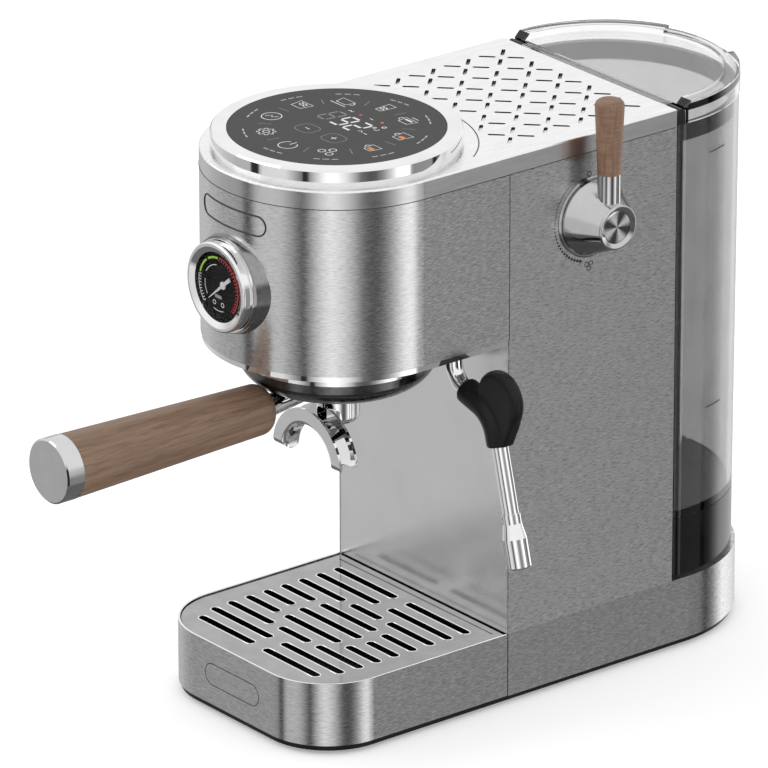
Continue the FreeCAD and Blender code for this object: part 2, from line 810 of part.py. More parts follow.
def make_spout():
    boss_bottom = bowl_bottom - spout_boss_drop
    flat = spout_boss - spout_round
    knee = spout_round * math.sqrt(0.5)
    boss = lathe([(0, boss_bottom), (flat, boss_bottom),
                  (flat + knee, boss_bottom + spout_round - knee, spout_boss, boss_bottom + spout_round),
                  (spout_boss, bowl_bottom), (0, bowl_bottom)], group_centre)
    spout_y = group_y - spout_forward
    arch_z = bowl_bottom - spout_drop
    half = spout_width / 2
    lip = spout_arch + spout_depth
    bed = spout_arch + spout_wall
    trough = half - spout_wall

    def at(y, radius):
        return V(-radius, spout_y + y, arch_z)

    knee = spout_edge * (1 - math.sqrt(0.5))
    edges = line(at(trough, lip), at(half, lip)) + line(at(half, lip), at(half, spout_arch + spout_edge))
    edges += arc(at(half, spout_arch + spout_edge), at(half - knee, spout_arch + knee),
                 at(half - spout_edge, spout_arch))
    edges += line(at(half - spout_edge, spout_arch), at(spout_edge - half, spout_arch))
    edges += arc(at(spout_edge - half, spout_arch), at(knee - half, spout_arch + knee),
                 at(-half, spout_arch + spout_edge))
    edges += line(at(-half, spout_arch + spout_edge), at(-half, lip)) + line(at(-half, lip), at(-trough, lip))
    edges += line(at(-trough, lip), at(-trough, bed)) + line(at(-trough, bed), at(trough, bed))
    edges += line(at(trough, bed), at(trough, lip))
    arch = face_of(edges).revolve(V(0, spout_y, arch_z), along_y, 180)
    ends = block(-2 * lip, 2 * lip, spout_y - half, spout_y + half, arch_z, arch_z + half)
    ends = ends.cut(rod(half, V(-2 * lip, spout_y, arch_z + half), V(2 * lip, spout_y, arch_z + half)))
    feed = V(0, group_y, arch_z + bed + outlet_radius)
    drop = rod(outlet_radius, feed, V(0, group_y, bowl_bottom))
    cross = rod(outlet_radius, feed, V(0, spout_y, feed.z))
    return boss.fuse(arch.cut(ends)).removeSplitter().cut(drop.fuse(cross))


# Steam lever: turned hub with its neck, spun cap, wooden grip, and the valve that it works
def make_lever():
    wall = V(half_width, lever_y, lever_z)
    flange = lathe([(stem_radius + 1, 0), (knob_flange_radius, 0),
                    (knob_flange_radius, knob_flange_height / 2),
                    (knob_flange_radius - knob_flange_height / 2, knob_flange_height),
                    (stem_radius + 1, knob_flange_height)], wall, along_x)

    hub_base = wall + along_x * (knob_flange_height + lift_gap)
    dish = hub_length - cap_sink
    hub = lathe([(0, 0), (hub_root, 0), (hub_root, hub_rim), (hub_tip, hub_length - hub_rim),
                 quarter((hub_tip, hub_length - hub_rim), (hub_tip - hub_rim, hub_length),
                         (hub_tip - hub_rim, hub_length - hub_rim)),
                 (0, hub_length)], hub_base, along_x)
    lever_foot = hub_base + along_x * lever_reach
    neck_top = lever_foot + along_z * lever_neck_top
    spigot_top = neck_top + along_z * lever_spigot_length
    neck = rod(lever_neck, lever_foot, neck_top)
    hub = hub.fuse([neck, rod(lever_spigot, neck_top, spigot_top)]).removeSplitter()
    bore = rod(stem_radius + snug, hub_base, hub_base + along_x * stem_in_hub)
    cap_seat = hub_base + along_x * dish
    dished = lathe([(0, 0), (cap_radius + snug, 0), (cap_radius + snug, cap_thickness),
                    (hub_tip - hub_rim, cap_sink), (0, cap_sink)], cap_seat, along_x)
    hub = hub.cut(bore).cut(dished)
    cap = lathe([(0, 0), (cap_radius, 0), (cap_radius, cap_thickness * 0.7),
                 (cap_radius - cap_thickness / 2, cap_thickness), (0, cap_thickness)], cap_seat, along_x)

    spigot_bore = lever_spigot + snug
    shoulder = lever_wood_length - lever_wood_dome
    crown = lever_wood_large - lever_wood_dome
    profile = [(spigot_bore, 0), (lever_wood_small, 0), (lever_wood_large, shoulder)]
    profile += [quarter((lever_wood_large, shoulder), (crown, lever_wood_length), (crown, shoulder))]
    profile += [(0, lever_wood_length), (0, lever_spigot_length + 1), (spigot_bore, lever_spigot_length + 1)]
    wood = lathe(profile, neck_top, along_z)

    inner_wall = V(inside, lever_y, lever_z)
    stem_end = inner_wall - along_x * stem_in_valve
    stem = rod(stem_radius, stem_end, hub_base + along_x * stem_in_hub)
    valve = lathe([(0, 0), (valve_flange, 0), (valve_flange, valve_flange_height),
                   (valve_radius, valve_flange_height), (valve_radius, valve_length), (0, valve_length)],
                  inner_wall, -along_x)
    port = inner_wall - along_x * valve_port_back
    reach = along_z * (valve_radius + valve_port_length)
    valve = valve.fuse(rod(valve_port, port - reach, port + reach)).removeSplitter()
    valve = valve.cut(rod(stem_radius + running, stem_end - along_x * 1, inner_wall))
    return {"knob_flange": flange, "lever_hub": hub, "lever_cap": cap, "lever_grip": wood,
            "valve_stem": stem, "steam_valve": valve}


# Steam wand: bent tube in a socket, soft grip with a thumb flag, and nozzle
def make_wand():
    high = V(wand_x, wand_y, head_bottom + wand_top)
    elbow = V(wand_x, wand_y, head_bottom - wand_drop)
    knee = elbow + V(wand_reach, 0, -wand_slope)
    tip = V(wand_x + wand_tip_reach, wand_y, head_bottom - wand_tip_drop)
    down = (tip - knee).normalize()
    tube_end = tip - down * nozzle_floor
    route = [high, elbow, knee, tube_end]
    bends = [wand_first_bend, wand_second_bend]
    tube = bent_bar(route, bends, wand_tube_radius).cut(bent_bar(route, bends, wand_bore))

    across = (knee - elbow).normalize()
    turn = math.pi - (high - elbow).getAngle(across)
    sleeve_start = elbow + across * (wand_first_bend * math.tan(turn / 2))
    sleeve_end = knee + down * sleeve_below
    sleeve = bent_bar([sleeve_start, knee, sleeve_end], bends[1:], sleeve_radius)
    hub = knee + V(flag_out, -flag_width / 2, flag_up)
    flag = rod(flag_radius, hub, hub + along_y * flag_width)
    flag = flag.makeFillet(min(flag_round, flag_width / 3), [e for e in flag.Edges if e.Closed])
    beside = V(-down.z, 0, down.x)
    lean = math.radians(flag_lean)
    brim = hub + V(math.cos(lean), 0, math.sin(lean)) * flag_radius
    foot = sleeve_end - V(0, flag_width / 2, 0)
    corners = [brim, foot + beside * sleeve_radius, foot, knee - V(0, flag_width / 2, 0)]
    web = Part.Face(Part.makePolygon(corners + corners[:1])).extrude(along_y * flag_width)
    grip = sleeve.fuse([flag, web]).removeSplitter().cut(bent_bar(route, bends, wand_tube_radius + snug))

    bore = wand_tube_radius + snug
    nozzle = lathe([(nozzle_hole, 0), (nozzle_neck, 0), (nozzle_radius, nozzle_hole),
                    (nozzle_radius, nozzle_length * 0.55), (nozzle_neck, nozzle_length * 0.82),
                    (nozzle_neck, nozzle_length),
                    (bore, nozzle_length), (bore, nozzle_floor), (nozzle_hole, nozzle_floor)], tip, -down)
    socket = lathe([(wand_tube_radius + running, 0), (socket_radius, 0),
                    (socket_radius, socket_height * 0.6), (socket_radius * 0.8, socket_height),
                    (wand_tube_radius + running, socket_height)], V(wand_x, wand_y, floor_under), -along_z)
    return {"wand_tube": tube, "wand_grip": grip, "wand_nozzle": nozzle, "wand_socket": socket}


# Pump on its rubber saddle, power board on the left cheek, hoses and pipes
def make_works():
    saddle_top = shelf_top + saddle_height
    saddle = ring(saddle_radius, pump_radius + snug, V(0, pump_y, 0), shelf_top, saddle_top)
    pump_bottom = shelf_top + shelf_thickness
    pump_top = pump_bottom + pump_length
    barrel = lathe([(0, pump_bottom - pump_nipple_length), (pump_nipple, pump_bottom - pump_nipple_length),
                    (pump_nipple, pump_bottom), (pump_radius, pump_bottom), (pump_radius, pump_top),
                    (pump_nipple, pump_top), (pump_nipple, pump_top + pump_nipple_length),
                    (0, pump_top + pump_nipple_length)], V(0, pump_y, 0))
    half_coil = pump_coil_width / 2
    coil = block(-half_coil, half_coil, pump_y - half_coil, pump_y + half_coil, saddle_top,
                 saddle_top + pump_coil_height)
    pump = barrel.fuse(coil).removeSplitter()

    board_x = -cheek_in + post_length
    board_z = board_top() - board_height
    half_board = board_width / 2
    board = block(board_x, board_x + board_thickness, pump_y - half_board, pump_y + half_board, board_z,
                  board_top())
    pieces = []
    for y in (pump_y - half_board * 0.8, pump_y + half_board * 0.8):
        for z in (board_z + post_length, board_top() - post_length):
            pieces.append(rod(board_post_radius, V(-cheek_in, y, z), V(board_x, y, z)))
    relay_y = pump_y - half_board / 2
    pieces.append(block(board_x + board_thickness, board_x + 3 * post_length, relay_y, pump_y, board_z
                        + post_length, board_z + 4 * post_length))
    can = V(board_x + board_thickness, pump_y + half_board / 2, board_top() - 3 * post_length)
    pieces.append(rod(post_length, can, can + along_x * 2 * post_length))
    board = board.fuse(pieces).removeSplitter()

    inlet_end = seat_top() - moulding - inlet_nipple
    hose = bent_bar([V(0, inlet_y, inlet_end), V(0, inlet_y, hose_z), V(0, pump_y, hose_z),
                     V(0, pump_y, pump_bottom - pump_nipple_length)], [hose_bend] * 2, hose_radius)
    feed_z = heater_top - pressure_drop
    feed = bent_bar([V(0, pump_y, pump_top + pump_nipple_length), V(0, pump_y, feed_z),
                     V(0, group_y + heater_radius, feed_z)], [hose_bend], pipe_radius)

    port_x = inside - valve_port_back
    port_reach = valve_radius + valve_port_length
    over = max(heater_top, lever_z + port_reach) + pipe_above
    bends = [pipe_bend] * 2
    steam_in = bent_bar([V(pipe_offset, group_y, heater_top), V(pipe_offset, group_y, over),
                         V(port_x, lever_y, over), V(port_x, lever_y, lever_z + port_reach)], bends,
                        pipe_radius)
    under = lever_z - port_reach - 2 * pipe_above
    steam_out = bent_bar([V(port_x, lever_y, lever_z - port_reach), V(port_x, lever_y, under),
                          V(wand_x, wand_y, under), V(wand_x, wand_y, head_bottom + wand_top)], bends,
                         pipe_radius)
    return {"pump_saddle": saddle, "pump": pump, "power_board": board, "inlet_hose": hose,
            "pressure_hose": feed, "steam_pipes": Part.makeCompound([steam_in, steam_out])}


# Water tank: seat with its inlet, smoky shell with valve and collar, and hinged lid
tank_front = column_back + tank_gap
tank_half = half_width - tank_inset
lid_half = half_width - lid_inset
hinge_y = tank_front + hinge_behind


def seat_top():
    return base_top + seat_height


def tank_plan(inset):
    half = tank_half - inset
    return plan(half, tank_front + inset, tank_y + half, max(tank_corner - inset, moulding), half)


# Moulded walls drawn in a little towards the bottom
def drafted(inset, z0, z1):
    low = tank_plan(inset + tank_draft).OuterWire
    high = tank_plan(inset).OuterWire
    low.translate(V(0, 0, z0))
    high.translate(V(0, 0, z1))
    return Part.makeLoft([low, high], True, True)


def make_tank():
    top = seat_top()
    seat = slab(tank_plan(tank_draft), base_top, top)
    seat = seat.cut(slab(tank_plan(tank_draft + moulding), base_top, top - moulding))
    seat = seat.cut(rod(inlet_radius + snug, V(0, inlet_y, base_top), V(0, inlet_y, top))).cut(hose_hole())
    axis = V(0, inlet_y, top)
    under = -moulding
    inlet = lathe([(inlet_bore, under - inlet_nipple), (hose_radius, under - inlet_nipple),
                   (hose_radius, under - inlet_flange_height), (inlet_flange, under - inlet_flange_height),
                   (inlet_flange, under), (inlet_radius, under), (inlet_radius, inlet_height),
                   (inlet_bore, inlet_height)], axis)

    floor = top + lift_gap
    floor_top = floor + tank_floor
    shell = drafted(0, floor, cover_seam).cut(drafted(moulding, floor_top, cover_seam))
    shell = shell.cut(rod(valve_cup + snug, V(0, inlet_y, floor), V(0, inlet_y, floor_top)))
    cup_bore = inlet_radius + lift_gap
    cup_top = floor_top + valve_cup_height
    cup = lathe([(cup_bore, floor), (valve_cup, floor), (valve_cup, floor_top), (valve_cup_flange, floor_top),
                 (valve_cup_flange, floor_top + valve_cup_top), (valve_cup, floor_top + valve_cup_top),
                 (valve_cup, cup_top), (0, cup_top), (0, cup_top - valve_cup_top),
                 (cup_bore, cup_top - valve_cup_top)], V(0, inlet_y, 0))
    return {"tank_seat": seat, "tank_inlet": inlet, "tank_shell": shell, "tank_valve": cup,
            **make_lid()}


# The tank's rear round, straight across at its front
def tank_round(radius, y_front, z0, z1):
    whole = slab(plan(radius, tank_front, tank_y + radius, 0, radius), z0, z1)
    return whole.cut(block(-half_width, half_width, front, y_front, z0, z1))


def make_lid():
    lid_top = cover_seam + lift_gap + lid_height
    plate_upper = lid_top - lid_plate_drop
    plate_lower = plate_upper - lid_plate
    hinge_z = plate_upper - hinge_radius
    ear_out = lid_half - ear_inset
    ear_in = ear_out - ear_width
    ring_in = moulding + 2 * snug
    collar = slab(tank_plan(ring_in), cover_seam - tank_collar_height, cover_seam)
    collar = collar.cut(slab(tank_plan(ring_in + tank_collar_wall), cover_seam - tank_collar_height,
                             cover_seam))
    extras = []
    for side in (-1, 1):
        x0, x1 = sorted((side * ear_in, side * ear_out))
        extras.append(block(x0, x1, hinge_y - hinge_radius, hinge_y + hinge_radius, cover_seam, hinge_z))
        extras.append(rod(hinge_radius, V(x0, hinge_y, hinge_z), V(x1, hinge_y, hinge_z)))
        pin_end = side * (ear_in - lift_gap - hinge_pin_length)
        extras.append(rod(hinge_pin, V(side * ear_in, hinge_y, hinge_z), V(pin_end, hinge_y, hinge_z)))
    collar = collar.fuse(extras).removeSplitter()

    bottom = cover_seam + lift_gap
    lid_front = hinge_y + hinge_radius + lift_gap
    skirt = lid_half - lid_skirt
    lid = tank_round(lid_half, lid_front, bottom, lid_top)
    lid = lid.cut(tank_round(skirt, lid_front + lid_skirt, bottom, plate_lower))
    lid = lid.cut(tank_round(lid_half - lid_rim, lid_front, plate_upper, lid_top))
    slope = [V(-half_width, lid_front, plate_upper), V(-half_width, lid_front, lid_top)]
    slope += [V(-half_width, lid_front + lid_plate_drop, lid_top)]
    lid = lid.cut(Part.Face(Part.makePolygon(slope + slope[:1])).extrude(along_x * body_width))
    barrel_half = ear_in - lift_gap
    crest = V(-barrel_half, hinge_y, plate_upper)
    heel = V(-barrel_half, hinge_y + hinge_radius, hinge_z)
    bend = hinge_radius * math.sqrt(0.5)
    edges = line(crest, V(-barrel_half, lid_front, plate_upper))
    edges += line(V(-barrel_half, lid_front, plate_upper), V(-barrel_half, lid_front, hinge_z))
    edges += line(V(-barrel_half, lid_front, hinge_z), heel)
    edges += arc(heel, V(-barrel_half, hinge_y - bend, hinge_z - bend), crest)
    lid = lid.fuse(face_of(edges).extrude(along_x * 2 * barrel_half)).removeSplitter()
    for side in (-1, 1):
        pin_end = side * (barrel_half - hinge_pin_length - lift_gap)
        lid = lid.cut(rod(hinge_pin + running, V(side * barrel_half, hinge_y, hinge_z),
                          V(pin_end, hinge_y, hinge_z)))
    centre = V(0, tank_y, 0)
    notch = wedge(half_width, 90 - lid_notch_angle, 90 + lid_notch_angle, centre,
                  lid_top - lid_notch_depth, lid_top)
    notch = notch.cut(rod(lid_half - lid_notch_width, centre, V(0, tank_y, lid_top)))
    return {"tank_collar": collar, "tank_lid": lid.cut(notch)}


# Drip tray: steel band round a black tub, and the slotted grille that lies on it
tray_back = column_front - tray_seam
tray_floor = plate_top + lift_gap
grille_top = base_top - grille_recess
grille_bottom = grille_top - grille_thickness


def outline_half_width(y, inset):
    corner = tray_corner - inset
    depth_in = y - (front + inset)
    half = half_width - inset
    if depth_in >= corner:
        return half
    return half - corner + math.sqrt(corner ** 2 - (corner - depth_in) ** 2)


def grille_slots():
    spans = []
    y = column_front - slot_back
    ring_y = column_front - ring_forward
    while y > front + slot_front + slot_width / 2:
        outer = outline_half_width(y, sheet) - slot_side + sheet
        rise = abs(y - ring_y)
        inner = slot_centre_rib
        if rise < slot_ring - slot_rib:
            chord = math.sqrt(slot_ring ** 2 - rise ** 2)
            inner = chord + slot_rib
            if chord > slot_rib + slot_width:
                spans.append((y, slot_rib - chord, chord - slot_rib))
        spans.append((y, inner, outer))
        spans.append((y, -outer, -inner))
        y -= slot_pitch
    bars = []
    for y, x0, x1 in spans:
        bars.append(slot_bar(V((x0 + x1) / 2, y, 0), x1 - x0, slot_width, 0, grille_bottom, grille_top))
    return Part.makeCompound(bars)


def make_tray():
    corner = tray_corner - sheet
    band = slab(plan(half_width, front, tray_back, tray_corner, 0), tray_floor, base_top)
    band = band.cut(slab(plan(inside, front + sheet, column_front, corner, 0), tray_floor, base_top))
    edge = sheet + snug
    tub = slab(plan(half_width - edge, front + edge, tray_back, tray_corner - edge, 0), tray_floor,
               grille_bottom - lift_gap)
    well = edge + moulding
    tub = tub.cut(slab(plan(half_width - well, front + well, tray_back - moulding, tray_corner - well, 0),
                       tray_floor + tub_floor, grille_bottom))
    edge = sheet + grille_gap
    grille = slab(plan(half_width - edge, front + edge, tray_back - grille_gap, tray_corner - edge, 0),
                  grille_bottom, grille_top)
    groove_length = 2 * (half_width - edge - rear_groove)
    groove = slot_bar(V(0, tray_back - rear_groove, 0), groove_length, rear_groove_width, 0,
                      grille_top - rear_groove_depth, grille_top)
    grille = grille.cut(grille_slots()).cut(groove)
    return {"tray_band": band, "tray_tub": tub, "drip_grille": grille}


# One STEP file for each piece
pieces = {}
for make in (make_base, make_column, make_frame, make_head, make_dial, make_gauge, make_group,
             make_portafilter, make_lever, make_wand, make_works, make_tank, make_tray):
    pieces.update(make())

os.makedirs("parts", exist_ok=True)
for name, shape in pieces.items():
    shape.exportStep(os.path.join("parts", name + ".step"))
print(len(pieces), "pieces written")
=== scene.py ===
import json
import math

import bpy
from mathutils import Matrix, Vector

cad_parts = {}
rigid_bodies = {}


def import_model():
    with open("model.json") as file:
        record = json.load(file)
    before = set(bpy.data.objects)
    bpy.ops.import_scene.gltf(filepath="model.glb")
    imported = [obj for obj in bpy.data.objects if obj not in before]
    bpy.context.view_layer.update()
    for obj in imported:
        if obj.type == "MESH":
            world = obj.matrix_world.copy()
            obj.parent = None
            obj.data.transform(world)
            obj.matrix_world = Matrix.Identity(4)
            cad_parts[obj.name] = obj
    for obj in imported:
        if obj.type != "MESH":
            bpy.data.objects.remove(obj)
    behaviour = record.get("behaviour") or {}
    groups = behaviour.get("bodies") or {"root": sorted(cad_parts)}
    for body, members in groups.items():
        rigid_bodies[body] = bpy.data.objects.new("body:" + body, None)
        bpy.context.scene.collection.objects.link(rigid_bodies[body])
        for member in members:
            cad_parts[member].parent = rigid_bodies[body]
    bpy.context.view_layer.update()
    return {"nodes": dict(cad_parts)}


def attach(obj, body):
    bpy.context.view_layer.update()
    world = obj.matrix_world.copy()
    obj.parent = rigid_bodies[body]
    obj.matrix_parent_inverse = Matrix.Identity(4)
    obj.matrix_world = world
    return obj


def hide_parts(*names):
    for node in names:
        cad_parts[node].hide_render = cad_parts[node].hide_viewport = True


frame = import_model()
nodes = frame["nodes"]
for spare in [o for o in bpy.data.objects if o.name in ("Cube", "Light", "Camera")]:
    bpy.data.objects.remove(spare)
print("frame loaded,", len(nodes), "nodes")

mm = 0.001
smoothAngle = math.radians(40)


def clearSelection():
    if bpy.context.object and bpy.context.object.mode != "OBJECT":
        bpy.ops.object.mode_set(mode="OBJECT")
    bpy.ops.object.select_all(action="DESELECT")


# camera, set up from the photograph's angle and long lens
photoView = {
    "azimuth": 51.18,
    "elevation": 22.0,
    "aim": (0.0, -0.03525, 0.1655),
    "distance": 4.904,
    "lens": 415.8,
    "sensor": 36.0,
    "shift": (-0.0509, 0.0057),
    "reach": 60,
}


def makeCamera(view):
    clearSelection()
    turn = math.radians(view["azimuth"])
    lift = math.radians(view["elevation"])
    level = math.cos(lift)
    back = Vector((math.sin(turn) * level, -math.cos(turn) * level, math.sin(lift)))
    bpy.ops.object.camera_add(location=Vector(view["aim"]) + back * view["distance"])
    camera = bpy.context.object
    camera.name = "photoCamera"
    camera.rotation_euler = back.to_track_quat("Z", "Y").to_euler()
    camera.data.sensor_width = view["sensor"]
    camera.data.lens = view["lens"]
    camera.data.shift_x, camera.data.shift_y = view["shift"]
    camera.data.clip_end = view["reach"]
    bpy.context.scene.camera = camera


makeCamera(photoView)
bpy.context.scene.view_settings.view_transform = "Standard"
print("camera placed")

# studio: plain white surroundings, one soft lamp, a pale floor and a tent of soft strips
studio = {
    "strips": [  # compass degrees from +X, brightness
        (-180, 0.72), (-141, 0.50), (-122, 0.50), (-119, 0.40), (-112, 0.50), (-109, 0.80),
        (-86, 0.80), (-78, 0.50), (-71, 0.22), (-65, 0.20), (-51, 1.05), (-44, 1.35),
        (-30, 0.88), (-17, 0.18), (-9, 0.10), (-3, 0.12), (4, 0.32), (12, 0.75), (19, 1.30),
        (26, 1.55), (30, 1.40), (33, 0.30), (54, 0.32), (61, 0.30), (67, 0.14), (73, 0.40),
        (82, 1.20), (89, 1.70), (117, 1.00), (138, 0.50), (160, 0.60), (180, 0.72),
    ],
    "tentRadius": 12.0,
    "tentFoot": -9.6,
    "tentTop": 2.9,
    "tentSides": 96,
    "footFade": 2.0,
    "topFade": 0.25,  # from here up the tent turns white
    "under": 0.16,  # the tent's bottom is dark, which draws dark lines under chrome edges
    "background": 1.0,
    "lampPower": 2.0,
    "lampSize": 0.9,
    "lampAt": (-0.75, -0.95, 1.25),
    "floorSize": 14.0,
    "floorTone": (0.86, 0.86, 0.86),
    "floorLift": 0.30,
    "bars": [(-118, 8), (-67, 4), (61, 5)],  # dark uprights of the tent: compass, width
    "barTone": 0.03,
}


def grey(value):
    return (value, value, value, 1.0)


def mixColour(tree, factor, first, second):
    mix = tree.nodes.new("ShaderNodeMix")
    mix.data_type = "RGBA"
    for socket, value in ((0, factor), (6, first), (7, second)):
        if isinstance(value, bpy.types.NodeSocket):
            tree.links.new(value, mix.inputs[socket])
        else:
            mix.inputs[socket].default_value = value
    return mix.outputs[2]


def spread(tree, value, fromLow, fromHigh, toLow, toHigh):
    ranged = tree.nodes.new("ShaderNodeMapRange")
    tree.links.new(value, ranged.inputs[0])
    for socket, number in zip((1, 2, 3, 4), (fromLow, fromHigh, toLow, toHigh)):
        ranged.inputs[socket].default_value = number
    return ranged.outputs[0]


def sums(tree, kind, first, second):
    node = tree.nodes.new("ShaderNodeMath")
    node.operation = kind
    for socket, value in ((0, first), (1, second)):
        if isinstance(value, bpy.types.NodeSocket):
            tree.links.new(value, node.inputs[socket])
        else:
            node.inputs[socket].default_value = value
    return node.outputs[0]


def ramp(tree, value, stops):
    node = tree.nodes.new("ShaderNodeValToRGB")
    tree.links.new(value, node.inputs[0])
    steps = node.color_ramp.elements
    while len(steps) > 1:
        steps.remove(steps[-1])
    steps[0].position, steps[0].color = stops[0]
    for place, colour in stops[1:]:
        steps.new(place).color = colour
    return node.outputs[0]


def placeOn(tree):
    spot = tree.nodes.new("ShaderNodeTexCoord")
    parts = tree.nodes.new("ShaderNodeSeparateXYZ")
    tree.links.new(spot.outputs["Object"], parts.inputs[0])
    return parts.outputs


def dress(piece, finish):
    piece.data.materials.clear()
    piece.data.materials.append(finish)


def makeStudio(setup):
    scene = bpy.context.scene
    world = scene.world or bpy.data.worlds.new("studio")
    scene.world = world
    world.use_nodes = True
    tree = world.node_tree
    tree.nodes.clear()
    glow = tree.nodes.new("ShaderNodeBackground")
    glow.inputs[0].default_value = grey(1.0)
    glow.inputs[1].default_value = setup["background"]
    out = tree.nodes.new("ShaderNodeOutputWorld")
    tree.links.new(glow.outputs[0], out.inputs[0])

    clearSelection()
    bpy.ops.object.light_add(type="AREA", location=setup["lampAt"])
    lamp = bpy.context.object
    lamp.name = "softLamp"
    lamp.data.energy = setup["lampPower"]
    lamp.data.size = setup["lampSize"]
    lamp.rotation_euler = Vector(setup["lampAt"]).to_track_quat("Z", "Y").to_euler()

    clearSelection()
    bpy.ops.mesh.primitive_plane_add(size=setup["floorSize"])
    floor = bpy.context.object
    floor.name = "floor"
    paint = bpy.data.materials.new("palePaper")
    paint.use_nodes = True
    skin = paint.node_tree.nodes["Principled BSDF"]
    skin.inputs["Base Color"].default_value = (*setup["floorTone"], 1.0)
    skin.inputs["Roughness"].default_value = 1.0
    skin.inputs["Specular IOR Level"].default_value = 0.0
    tree = paint.node_tree
    ray = tree.nodes.new("ShaderNodeLightPath")  # the paper looks white, its shadow stays
    seen = sums(tree, "MAXIMUM", ray.outputs["Is Camera Ray"], ray.outputs["Is Transmission Ray"])
    shine = sums(tree, "MULTIPLY", seen, setup["floorLift"])
    skin.inputs["Emission Color"].default_value = grey(1.0)
    tree.links.new(shine, skin.inputs["Emission Strength"])
    dress(floor, paint)
    floor.visible_glossy = False  # metal sees the strips, as in a light tent


# light tent: an open bowl of soft strips that only reflections see
def makeTent(setup):
    clearSelection()
    deep = setup["tentTop"] - setup["tentFoot"]
    middle = (setup["tentTop"] + setup["tentFoot"]) / 2
    bpy.ops.mesh.primitive_cylinder_add(vertices=setup["tentSides"], radius=setup["tentRadius"],
                                        depth=deep, location=(0, 0, middle))
    tent = bpy.context.object
    tent.name = "lightTent"
    bpy.ops.object.transform_apply(location=True, rotation=True, scale=True)
    bpy.ops.object.mode_set(mode="EDIT")
    bpy.ops.mesh.select_all(action="DESELECT")
    bpy.ops.object.mode_set(mode="OBJECT")
    for face in tent.data.polygons:  # open it at the top
        face.select = face.normal.z > 0.9
    bpy.ops.object.mode_set(mode="EDIT")
    bpy.ops.mesh.delete(type="FACE")
    bpy.ops.object.mode_set(mode="OBJECT")
    cloth = bpy.data.materials.new("tentCloth")
    cloth.use_nodes = True
    tree = cloth.node_tree
    tree.nodes.clear()
    x, y, z = placeOn(tree)
    turn = spread(tree, sums(tree, "ARCTAN2", y, x), -math.pi, math.pi, 0.0, 1.0)
    strips = ramp(tree, turn, [((a + 180) / 360, grey(v)) for a, v in setup["strips"]])
    foot = setup["tentFoot"]
    low = spread(tree, z, foot, foot + setup["footFade"], 1.0, 0.0)
    high = spread(tree, z, setup["topFade"], setup["tentTop"], 0.0, 1.0)
    edges = []
    for compass, wide in setup["bars"]:
        half = wide / 2
        for shift, value in ((-half - 1, 0.0), (-half, 1.0), (half, 1.0), (half + 1, 0.0)):
            edges.append(((compass + shift + 180) / 360, grey(value)))
    barred = mixColour(tree, ramp(tree, turn, edges), strips, grey(setup["barTone"]))
    sides = mixColour(tree, low, barred, grey(setup["under"]))
    glow = tree.nodes.new("ShaderNodeEmission")
    out = tree.nodes.new("ShaderNodeOutputMaterial")
    tree.links.new(mixColour(tree, high, sides, grey(setup["background"])), glow.inputs[0])
    tree.links.new(glow.outputs[0], out.inputs[0])
    cloth.cycles.emission_sampling = "NONE"
    dress(tent, cloth)
    tent.visible_camera = False
    tent.visible_diffuse = False
    tent.visible_transmission = False
    tent.visible_shadow = False


makeStudio(studio)
makeTent(studio)
print("studio lit")


# finishes: each is a noise in the object's own space that drives tone, gloss and a fine bump
def grainOf(tree, scale, detail=3.0):
    spot = tree.nodes.new("ShaderNodeTexCoord")
    lay = tree.nodes.new("ShaderNodeMapping")
    lay.inputs["Scale"].default_value = scale
    tree.links.new(spot.outputs["Object"], lay.inputs["Vector"])
    noise = tree.nodes.new("ShaderNodeTexNoise")
    noise.inputs["Scale"].default_value = 1.0
    noise.inputs["Detail"].default_value = detail
    tree.links.new(lay.outputs["Vector"], noise.inputs["Vector"])
    return noise.outputs[0]


def makeFinish(name, look):
    finish = bpy.data.materials.new(name)
    finish.use_nodes = True
    tree = finish.node_tree
    skin = tree.nodes["Principled BSDF"]
    grain = grainOf(tree, look["grain"], look.get("detail", 3.0))
    tone = ramp(tree, grain, [(0.32, (*look["dark"], 1.0)), (0.68, (*look["light"], 1.0))])
    if "fleck" in look:  # a second, finer noise, such as pores in wood
        fleck = grainOf(tree, look["fleck"], 2.0)
        shade = ramp(tree, fleck, [(0.36, (*look["fleckTone"], 1.0)), (0.52, grey(1.0))])
        dab = tree.nodes.new("ShaderNodeMix")
        dab.data_type = "RGBA"
        dab.blend_type = "MULTIPLY"
        dab.inputs[0].default_value = 1.0
        tree.links.new(tone, dab.inputs[6])
        tree.links.new(shade, dab.inputs[7])
        tone = dab.outputs[2]
    tree.links.new(tone, skin.inputs["Base Color"])
    tree.links.new(spread(tree, grain, 0.3, 0.7, *look["rough"]), skin.inputs["Roughness"])
    skin.inputs["Metallic"].default_value = look.get("metal", 0.0)
    normal = None
    if look.get("edge"):
        soften = tree.nodes.new("ShaderNodeBevel")
        soften.samples = 4
        soften.inputs["Radius"].default_value = look["edge"]
        normal = soften.outputs[0]
    if look.get("bump"):
        rise = tree.nodes.new("ShaderNodeBump")
        rise.inputs["Strength"].default_value = look["bump"]
        rise.inputs["Distance"].default_value = look.get("relief", 0.0002)
        tree.links.new(grain, rise.inputs["Height"])
        if normal:
            tree.links.new(normal, rise.inputs["Normal"])
        normal = rise.outputs[0]
    if normal:
        tree.links.new(normal, skin.inputs["Normal"])
    for socket, value in look.get("sockets", {}).items():
        skin.inputs[socket].default_value = value
    return finish


def even(value):
    return (value, value, value)


